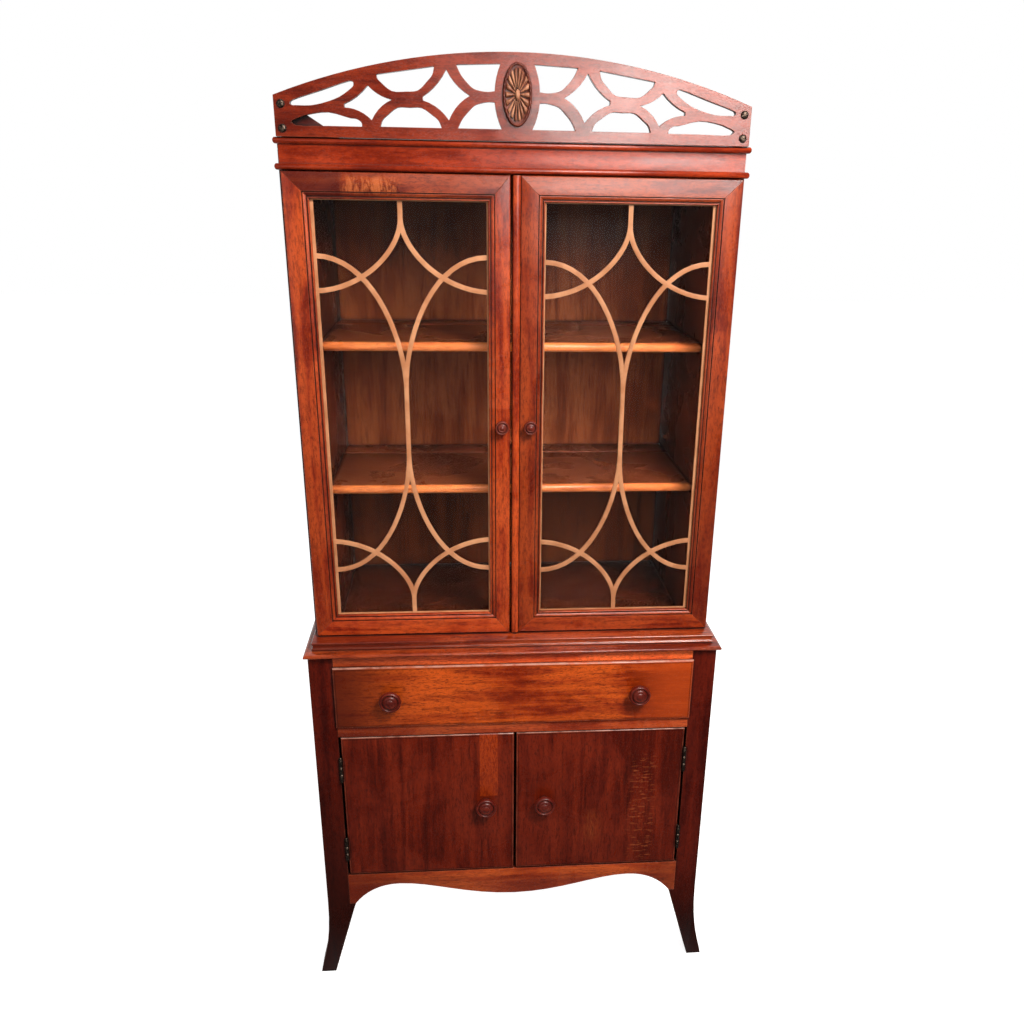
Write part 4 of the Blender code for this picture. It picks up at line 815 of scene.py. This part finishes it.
def make_member(side_name, member, rings, seed):
    member_name, start_corner, end_corner, grain = member
    along = Vector((1, 0, 0)) if grain == "x" else Vector((0, 0, 1))
    solid = ring_solid(
        rings,
        lambda ring: ring[start_corner] + along * MITRE_GAP,
        lambda ring: ring[end_corner] - along * MITRE_GAP,
    )
    door = f"upper_door_{side_name}"
    name = f"{door}_{member_name}"
    material = make_wood(name, "frame", grain, seed, MEMBER_MARKS.get(name), MEMBER_TONES[name], FINE_REACH)
    piece = new_piece(name, solid, material, f"upper_{side_name}_door", SLIM_EDGE)
    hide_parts(door)


def make_meeting_bead(near, far, front, back, z_span):
    """A half-round bead in front of a square edge, drawn as a plan and carried up the door."""
    middle, reach = (near + far) / 2, (far - near) / 2
    plan = []
    for step in range(BEAD_STEPS + 1):
        angle = math.pi * step / BEAD_STEPS
        plan.append((middle + reach * math.cos(angle), front + BEAD_PROUD * (1 - math.sin(angle))))
    plan.append((near, back))
    plan.append((far, back))
    low_z, high_z = z_span
    solid = ring_solid(plan, lambda point: Vector((*point, low_z)), lambda point: Vector((*point, high_z)))
    wood = make_wood("meeting_bead", "frame", "z", BEAD_SEED, tone=BEAD_TONE)
    piece = new_piece("upper_door_right_meeting_bead", solid, wood, "upper_right_door", SLIM_EDGE)
    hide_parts("upper_door_right")


def make_upper_doors():
    left_low, left_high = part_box("upper_door_left")
    right_low, right_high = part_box("upper_door_right")
    bead_left, bead_right = right_low.x, -right_low.x
    outer_z = (left_low.z, left_high.z)
    outers = {"left": (left_low.x, left_high.x), "right": (bead_right, right_high.x)}
    for side_name, outer_x in outers.items():
        fret_low, fret_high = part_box(f"fret_{side_name}")
        sight_x = (fret_low.x + REBATE_HIDDEN, fret_high.x - REBATE_HIDDEN)
        sight_z = (fret_low.z + REBATE_HIDDEN, fret_high.z - REBATE_HIDDEN)
        rings = frame_rings((outer_x, outer_z), (sight_x, sight_z), left_low.y, left_high.y)
        for index, member in enumerate(MEMBERS):
            make_member(side_name, member, rings, MEMBER_SEEDS[side_name] + index)
    make_meeting_bead(bead_left, bead_right - MITRE_GAP, left_low.y - BEAD_PROUD, left_high.y, outer_z)


# Knobs

KNOB_SIDES = 72
KNOB_ROUGHNESS = 0.36
KNOB_BODIES = {
    "upper_knob_left": "upper_left_door", "upper_knob_right": "upper_right_door",
    "lower_knob_left": "lower_left_door", "lower_knob_right": "lower_right_door",
    "drawer_knob_left": "drawer", "drawer_knob_right": "drawer",
}

# Radius and rise from the seat to the face, as shares of the knob's radius and length
KNOB_SHARES = (
    (0.50, 0), (0.47, 0.05), (0.43, 0.12), (0.41, 0.20), (0.42, 0.28), (0.47, 0.36), (0.58, 0.42),
    (0.76, 0.47), (0.90, 0.52), (0.97, 0.58), (1, 0.65), (0.99, 0.73), (0.95, 0.81), (0.89, 0.86),
    (0.83, 0.87), (0.78, 0.85), (0.745, 0.80), (0.72, 0.76), (0.69, 0.76), (0.665, 0.80), (0.62, 0.855),
    (0.54, 0.895), (0.46, 0.915), (0.42, 0.918), (0.395, 0.905), (0.37, 0.905), (0.345, 0.92),
    (0.28, 0.95), (0.16, 0.985), (0, 1),
)


def seat_and_half(node):
    """Middle of a node's back face, and its half width, depth and half height."""
    low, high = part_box(node)
    seat = Vector(((low.x + high.x) / 2, high.y, (low.z + high.z) / 2))
    return seat, Vector(((high.x - low.x) / 2, high.y - low.y, (high.z - low.z) / 2))


def make_knobs():
    for index, (node, body) in enumerate(KNOB_BODIES.items()):
        seat, half = seat_and_half(node)
        profile = [(half.x * run, half.y * rise) for run, rise in KNOB_SHARES]
        material = make_wood(f"{node}_wood", "knob", "x", KNOB_SEED + index, reach=KNOB_REACH,
                             roughness=KNOB_ROUGHNESS)
        piece = new_piece(f"{node}_turned", lathe(profile, KNOB_SIDES, seat), material, body)
        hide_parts(node)


# Carved oval, in shares of its half width, depth and half height

PETAL_WOOD = ((0.17, 0.050, 0.024), (0.47, 0.21, 0.115), 0.34)
GROUND_WOOD = ((0.070, 0.010, 0.005), (0.160, 0.030, 0.014), 0.40)
GROUND_SIDES = 72
GROUND_SHARES = (
    (0.98, 0), (1, 0.12), (0.98, 0.30), (0.90, 0.34), (0.82, 0.26), (0.60, 0.20), (0.30, 0.22), (0, 0.24),
)
BOSS_SIDES = 36
BOSS_SHARES = ((0.17, 0.22), (0.17, 0.60), (0.15, 0.78), (0.11, 0.92), (0.06, 0.98), (0, 1))
PETALS = 18
PETAL_STEPS = 10
PETAL_START = 0.17
PETAL_LENGTH = 0.64
PETAL_FULLEST = 0.55
PETAL_END_POWER = 4
PETAL_FILL_SHARE = 0.86
PETAL_WIDTH = math.pi / PETALS * PETAL_FILL_SHARE
PETAL_NARROWEST = 0.45
PETAL_PLACES = (-1, -0.72, -0.38, 0, 0.38, 0.72, 1)
PETAL_FOOT = 0.20
PETAL_LOW_TOP = 0.26
PETAL_SWELL = 0.42
PETAL_SWELL_GAIN = 0.10
ROPE_TURNS = 34
ROPE_STEPS = 6
ROPE_SIDES = 8
ROPE_THICK = 0.075
ROPE_REACH = (0.90, 0.945)
ROPE_BULGE = 0.35
ROPE_RISE = 0.42


def oval_lathe(profile_shares, seat, half, sides):
    made = lathe(profile_shares, sides, Vector((0, 0, 0)))
    made.transform(Matrix.Translation(seat) @ Matrix.Diagonal((*half, 1)))
    return made


def petal_rows(made, angle, seat, half):
    """Cross-rows of one petal from the boss outwards; it swells, with a round back and rounded ends."""
    rows = []
    for step in range(PETAL_STEPS + 1):
        share = step / PETAL_STEPS
        run = PETAL_START + PETAL_LENGTH * share
        from_fullest = abs(share - PETAL_FULLEST) / PETAL_FULLEST
        swell = math.sqrt(max(0, 1 - from_fullest ** PETAL_END_POWER))
        top = PETAL_LOW_TOP + (PETAL_SWELL + PETAL_SWELL_GAIN * share) * swell
        row = []
        for place in PETAL_PLACES:
            across = place * (PETAL_NARROWEST + (1 - PETAL_NARROWEST) * swell)
            turn = angle + across * PETAL_WIDTH
            rise = PETAL_FOOT + (top - PETAL_FOOT) * math.sqrt(max(0, 1 - place ** 2))
            offset = (half.x * run * math.cos(turn), -half.y * rise, half.z * run * math.sin(turn))
            row.append(made.verts.new(seat + Vector(offset)))
        rows.append(row)
    return rows


def patera_petals(seat, half):
    """The boss in the middle, with the petals round it."""
    made = oval_lathe(BOSS_SHARES, seat, half, BOSS_SIDES)
    for index in range(PETALS):
        rows = petal_rows(made, 2 * math.pi * index / PETALS, seat, half)
        for lower, upper in zip(rows, rows[1:]):
            for column in range(len(lower) - 1):
                made.faces.new((lower[column], lower[column + 1], upper[column + 1], upper[column]))
            made.faces.new((lower[-1], lower[0], upper[0], upper[-1]))
        made.faces.new(rows[0])
        made.faces.new(list(reversed(rows[-1])))
    return made


def patera_rope(seat, half):
    """A twisted rope round the oval: its section bulges on two sides, and the bulges spiral."""
    made = bmesh.new()
    count = ROPE_TURNS * ROPE_STEPS
    thick = ROPE_THICK * half.x
    reach_x, reach_z = ROPE_REACH[0] * half.x, ROPE_REACH[1] * half.z
    rings = []
    for step in range(count):
        angle = 2 * math.pi * step / count
        middle = Vector((reach_x * math.cos(angle), -ROPE_RISE * half.y, reach_z * math.sin(angle)))
        outward = Vector((half.z * math.cos(angle), 0, half.x * math.sin(angle))).normalized()
        twist = math.pi * step / ROPE_STEPS
        ring = []
        for side in range(ROPE_SIDES):
            turn = 2 * math.pi * side / ROPE_SIDES
            radius = thick * (1 + ROPE_BULGE * math.cos(2 * turn - 2 * twist))
            offset = outward * radius * math.cos(turn) - Vector((0, radius * math.sin(turn), 0))
            ring.append(made.verts.new(seat + middle + offset))
        rings.append(ring)
    for here, after in zip(rings, rings[1:] + rings[:1]):
        for side in range(ROPE_SIDES):
            beside = (side + 1) % ROPE_SIDES
            made.faces.new((here[side], here[beside], after[beside], after[side]))
    return made


def make_patera():
    seat, half = seat_and_half("patera")
    golden = make_carved_wood("patera_petal_wood", *PETAL_WOOD)
    dark = make_carved_wood("patera_ground_wood", *GROUND_WOOD)
    ground = oval_lathe(GROUND_SHARES, seat, half, GROUND_SIDES)
    pieces = [
        new_piece("patera_ground", ground, dark, "cabinet"),
        new_piece("patera_petals", patera_petals(seat, half), golden, "cabinet"),
        new_piece("patera_rope", patera_rope(seat, half), dark, "cabinet"),
    ]
    for piece in pieces:
        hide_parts("patera")


# Screws of the crest

SCREW_SIDES = 40
SCREW_HEAD_HEIGHT = 0.0035
SCREW_SHARES = (
    (1, 0), (0.99, 0.22), (0.92, 0.46), (0.78, 0.68), (0.60, 0.84), (0.38, 0.95), (0.16, 1), (0, 1),
)
SLOT_WIDTH = 0.0011
SLOT_DEPTH = 0.0012
SLOT_LENGTH_SHARE = 3
SLOT_TURNS = {"low": 0.6, "high": -0.35}


def slot_cutter(middle, radius, turn):
    cutter = bmesh.new()
    bmesh.ops.create_cube(cutter, size=1)
    scale = Matrix.Diagonal((SLOT_LENGTH_SHARE * radius, 2 * SLOT_DEPTH, SLOT_WIDTH, 1))
    cutter.transform(Matrix.Translation(middle) @ Matrix.Rotation(turn, 4, "Y") @ scale)
    return new_object("slot_cutter", cutter)


def make_screw(side_name, place, metal):
    node = f"crest_screw_{side_name}_{place}"
    low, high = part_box(node)
    radius = (high.x - low.x) / 2
    top = Vector(((low.x + high.x) / 2, low.y, (low.z + high.z) / 2))
    profile = [(radius * run, SCREW_HEAD_HEIGHT * rise) for run, rise in SCREW_SHARES]
    solid = lathe(profile, SCREW_SIDES, top + Vector((0, SCREW_HEAD_HEIGHT, 0)))
    piece = new_piece(f"{node}_head", solid, metal, "cabinet")
    cutter = slot_cutter(top, radius, SLOT_TURNS[place])
    cut = piece.modifiers.new("slot", "BOOLEAN")
    cut.object = cutter
    cut.solver = "EXACT"
    apply_modifiers(piece)
    bpy.data.objects.remove(cutter, do_unlink=True)
    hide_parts(node)


def make_screws(metal):
    for side_name in ("left", "right"):
        for place in SLOT_TURNS:
            make_screw(side_name, place, metal)


def apply_modifiers(piece):
    bpy.context.view_layer.update()
    graph = bpy.context.evaluated_depsgraph_get()
    piece.data = bpy.data.meshes.new_from_object(piece.evaluated_get(graph))
    piece.modifiers.clear()


# Finishes of the CAD nodes that stay

FINISHES = {
    # node: wood, grain, record slot, mark
    "post_front_left": ("post", "z", "mahogany_dark", shaded(TALL_FOOT)),
    "post_front_right": ("post", "z", "mahogany_dark", shaded(SHORT_FOOT)),
    "post_rear_left": ("post", "z", "mahogany_dark", shaded(SHORT_FOOT)),
    "post_rear_right": ("post", "z", "mahogany_dark", shaded(SHORT_FOOT)),
    "side_panel_left": ("case", "z", "mahogany_dark", None),
    "side_panel_right": ("case", "z", "mahogany_dark", None),
    "base_back": ("hidden", "x", "mahogany_inside", None),
    "top_rail": ("rail", "x", "mahogany_light", shaded(LEFT_PAINTED_SHADE)),
    "mid_rail": ("rail", "x", "mahogany_light", shaded(LEFT_PAINTED_SHADE)),
    "apron": ("apron", "x", "mahogany_light", shaded(KNEES, LEFT_PAINTED_SHADE)),
    "cupboard_floor": ("hidden", "x", "mahogany_inside", None),
    "dust_board": ("hidden", "x", "mahogany_inside", None),
    "base_top": ("waist", "x", "mahogany_frame", None),
    "hutch_base": ("waist", "x", "mahogany_frame", shaded(LEFT_PAINTED_SHADE, floor_shade())),
    "hutch_side_left": ("case", "z", "mahogany_dark", shaded(INNER_FACE_PAINTED_SHADE)),
    "hutch_side_right": ("case", "z", "mahogany_dark", shaded(INNER_FACE_PAINTED_SHADE)),
    "hutch_back": ("inside", "z", "mahogany_inside", shaded_back),
    "hutch_top": ("case", "x", "mahogany_dark", None),
    "shelf_lower": ("shelf", "x", "mahogany_inside", shaded(shelf_shade("shelf_lower"))),
    "shelf_upper": ("shelf", "x", "mahogany_inside", shaded(shelf_shade("shelf_upper"))),
    "frieze": ("frieze", "x", "mahogany_frame", None),
    "crest_board": ("crest", "x", "mahogany_frame", dark_cuts),
    "crest_brace_left": ("post", "x", "mahogany_dark", None),
    "crest_block_right": ("post", "x", "mahogany_dark", None),
    "lower_door_left": ("door", "z", "mahogany_dark", light_strip),
    "lower_door_right": ("door", "z", "mahogany_dark", dash_marks),
    "drawer_front": ("drawer", "x", "mahogany_light", drawer_marks),
    "drawer_side_left": ("lining", "y", "drawer_lining", None),
    "drawer_side_right": ("lining", "y", "drawer_lining", None),
    "drawer_back": ("lining", "x", "drawer_lining", None),
    "drawer_bottom": ("lining", "x", "drawer_lining", None),
}

# The waist's edges take the whole share of wear and painted highlight
WAIST_SHADING = {"reach": WAIST_REACH, "roughness": 0.20, "wear_and_highlight": 1.0}
SHADINGS = {
    "base_top": WAIST_SHADING,
    "hutch_base": WAIST_SHADING,
    # Painted light: the base's top rail is toned twice as light, in place of the light that the waist's
    # overhang shades off it
    "top_rail": {"reach": FINE_REACH, "tone": 2.0},
    "mid_rail": {"reach": FINE_REACH},
    "frieze": {"reach": FINE_REACH, "roughness": 0.24},
    "crest_board": {"reach": FINE_REACH, "roughness": 0.21, "round_edges": 0.0012},
    "hutch_back": {"tone": 0.9},
}
EDGES = {"base_top": WIDE_EDGE, "hutch_base": WIDE_EDGE, "crest_board": 0, "hutch_back": 0}


def finish_node(name, material, slot, edge):
    """Dresses a CAD node. One without a rounded edge is shaded flat, unless it is small metal."""
    node = NODES[name]
    node.data.materials.clear()
    node.data.materials.append(material)
    weld = node.modifiers.new("weld", "WELD")
    weld.merge_threshold = WELD_DISTANCE
    if edge or slot == "dark_metal":
        smooth(node, CAD_EDGE_ANGLE, edge)
    else:
        node.data.polygons.foreach_set("use_smooth", [False] * len(node.data.polygons))


def finish_nodes(metal, glass):
    for index, (name, (wood, grain, slot, mark)) in enumerate(FINISHES.items()):
        material = make_wood(f"{name}_wood", wood, grain, NODE_SEED + index, mark, **SHADINGS.get(name, {}))
        finish_node(name, material, slot, EDGES.get(name, SOFT_EDGE))
    for side in ("left", "right"):
        finish_node(f"fret_{side}", make_fret_wood(*FRET_SETTINGS[side]), "fret_wood", SLIM_EDGE)
        finish_node(f"glass_{side}", glass, "window_glass", 0)
        for end in ("bottom", "top"):
            finish_node(f"upper_pivot_{side}_{end}", metal, "dark_metal", 0)
            for leaf in ("case", "door"):
                finish_node(f"lower_hinge_{side}_{end}_{leaf}_leaf", metal, "dark_metal", 0)


# Stage, light and camera

WHITE = (1, 1, 1)
FLOOR_HALF = 14
FLOOR_SQUARES = 4
FLOOR_DROP = 0.0005
FLOOR_LIFT = 0.88
FLOOR_FRONT = 0.06
FLOOR_TURN_Y = (-0.35, 0.10)
FLOOR_ROUGHNESS = 0.9
FLOOR_SPECK = {"scale": 3, "detail": 2}
FLOOR_LOW = (0.58, 0.58, 0.58)
FLOOR_HIGH = (0.62, 0.62, 0.62)
FLOOR_IN_GLOSS = (0.02, 0.02, 0.02)
SKY_FRONT = 0.08
SKY_TURN = 0.5
SKY_SOFT = 0.17
MOST_BOUNCES = 1.5


def seen_rays(graph, path):
    """1 for the camera's rays and for those that went through glass."""
    return graph.math("MAXIMUM", path["Is Camera Ray"], path["Is Transmission Ray"])


def make_floor():
    """Pale to the camera; in the wood's gloss it is dark in front of the cabinet and pale behind it."""
    graph = Graph(bpy.data.materials.new("pale_floor"))
    path = graph.node("ShaderNodeLightPath").outputs
    behind = graph.ramp(graph.axis("Y"), *FLOOR_TURN_Y, FLOOR_FRONT, 1)
    front_gloss = graph.times(path["Is Glossy Ray"], graph.math("SUBTRACT", 1, behind))
    back_gloss = graph.times(path["Is Glossy Ray"], behind)
    seen = graph.math("MAXIMUM", seen_rays(graph, path), back_gloss)
    pale = graph.mix(graph.noise(**FLOOR_SPECK), FLOOR_LOW, FLOOR_HIGH)
    material = graph.finish({
        "Base Color": graph.mix(front_gloss, pale, FLOOR_IN_GLOSS),
        "Roughness": FLOOR_ROUGHNESS,
        "Emission Color": WHITE,
        "Emission Strength": graph.times(seen, FLOOR_LIFT),
    })
    grid = bmesh.new()
    bmesh.ops.create_grid(grid, x_segments=FLOOR_SQUARES, y_segments=FLOOR_SQUARES, size=FLOOR_HALF)
    floor = new_object("floor", grid)
    floor.data.materials.append(material)
    floor.location = (0, 0, CAD_BOUNDS[0][2] - FLOOR_DROP)


def make_world():
    """White to the camera and through glass, a soft grey to the wood; in gloss, dim behind the camera.

    The white in the gloss stops after the first bounce, so the case stays dark inside.
    """
    graph = Graph(bpy.data.worlds.new("studio"), "Background")
    path = graph.node("ShaderNodeLightPath").outputs
    direction = graph.node("ShaderNodeTexCoord").outputs["Generated"]
    to_back = graph.node("ShaderNodeSeparateXYZ", {0: direction}).outputs["Y"]
    sky = graph.ramp(to_back, 0, SKY_TURN, SKY_FRONT, 1)
    bounces = graph.math("ADD", path["Transmission Depth"], path["Glossy Depth"])
    direct_gloss = graph.times(path["Is Glossy Ray"], graph.math("LESS_THAN", bounces, MOST_BOUNCES))
    on_wood = graph.mix(direct_gloss, SKY_SOFT, sky, "FLOAT")
    strength = graph.mix(seen_rays(graph, path), on_wood, 1, "FLOAT")
    bpy.context.scene.world = graph.finish({"Color": WHITE, "Strength": strength})


LAMPS = (
    # name, place, target, size, power, colour, shares of diffuse light and of gloss
    ("key_high", (0.8, -1.7, 2.7), (0.0, 0.0, 1.0), (0.60, 0.60), 66, (1.0, 0.95, 0.90), 1, 1),
    ("glare_right", (0.556, -1.80, 1.896), (0.2, 0.0, 1.7), (0.77, 0.35), 30, (1.0, 0.96, 0.92), 0, 1),
    ("fill_left", (-1.9, -2.4, 1.6), (0.0, 0.0, 0.9), (1.4, 1.4), 9, (1.0, 0.97, 0.94), 1, 1),
    ("front_soft", (0.5, -2.7, 2.9), (0.0, 0.0, 0.7), (1.8, 1.0), 20, (1.0, 0.97, 0.94), 1, 1),
    ("top_soft", (0.2, -0.4, 3.3), (0.0, 0.0, 0.8), (2.2, 1.6), 10, WHITE, 1, 1),
    ("back_soft", (0.0, 2.6, 2.2), (0.0, 0.0, 1.0), (2.0, 1.6), 34, WHITE, 1, 0),
)


def make_lamps():
    for name, place, target, size, power, colour, diffuse, gloss in LAMPS:
        data = bpy.data.lights.new(name, "AREA")
        data.shape = "RECTANGLE"
        data.size, data.size_y = size
        data.energy = power
        data.color = colour
        data.diffuse_factor = diffuse
        data.specular_factor = gloss
        lamp = bpy.data.objects.new(name, data)
        lamp.location = place
        lamp.visible_diffuse = diffuse > 0
        lamp.visible_glossy = gloss > 0
        lamp.rotation_euler = (Vector(target) - Vector(place)).to_track_quat("-Z", "Y").to_euler()
        bpy.context.scene.collection.objects.link(lamp)


def make_camera():
    data = bpy.data.cameras.new("camera")
    data.sensor_fit = "HORIZONTAL"
    data.sensor_width = SENSOR_WIDTH_MM
    data.lens = FOCAL_PIXELS * SENSOR_WIDTH_MM / PHOTO_WIDTH
    data.shift_x = (PHOTO_WIDTH / 2 - PRINCIPAL_POINT[0]) / PHOTO_WIDTH
    data.shift_y = (PRINCIPAL_POINT[1] - PHOTO_WIDTH / 2) / PHOTO_WIDTH
    to_camera = (
        Matrix.Rotation(CAMERA_ROLL, 3, "Z")
        @ Matrix.Rotation(CAMERA_PITCH, 3, "X")
        @ Matrix.Rotation(CAMERA_YAW, 3, "Y")
        @ Matrix(((1, 0, 0), (0, 0, -1), (0, 1, 0)))
    )
    to_world = to_camera.transposed() @ Matrix.Diagonal((1, -1, -1))
    camera = bpy.data.objects.new("camera", data)
    camera.matrix_world = Matrix.Translation(CAMERA_PLACE) @ to_world.to_4x4()
    bpy.context.scene.collection.objects.link(camera)
    bpy.context.scene.camera = camera


def main():
    clear_defaults()
    bpy.context.scene.view_settings.view_transform = "Standard"
    metal, glass = make_dark_metal(), make_window_glass()
    finish_nodes(metal, glass)
    make_upper_doors()
    make_knobs()
    make_patera()
    make_screws(metal)
    make_floor()
    make_world()
    make_lamps()
    make_camera()


main()
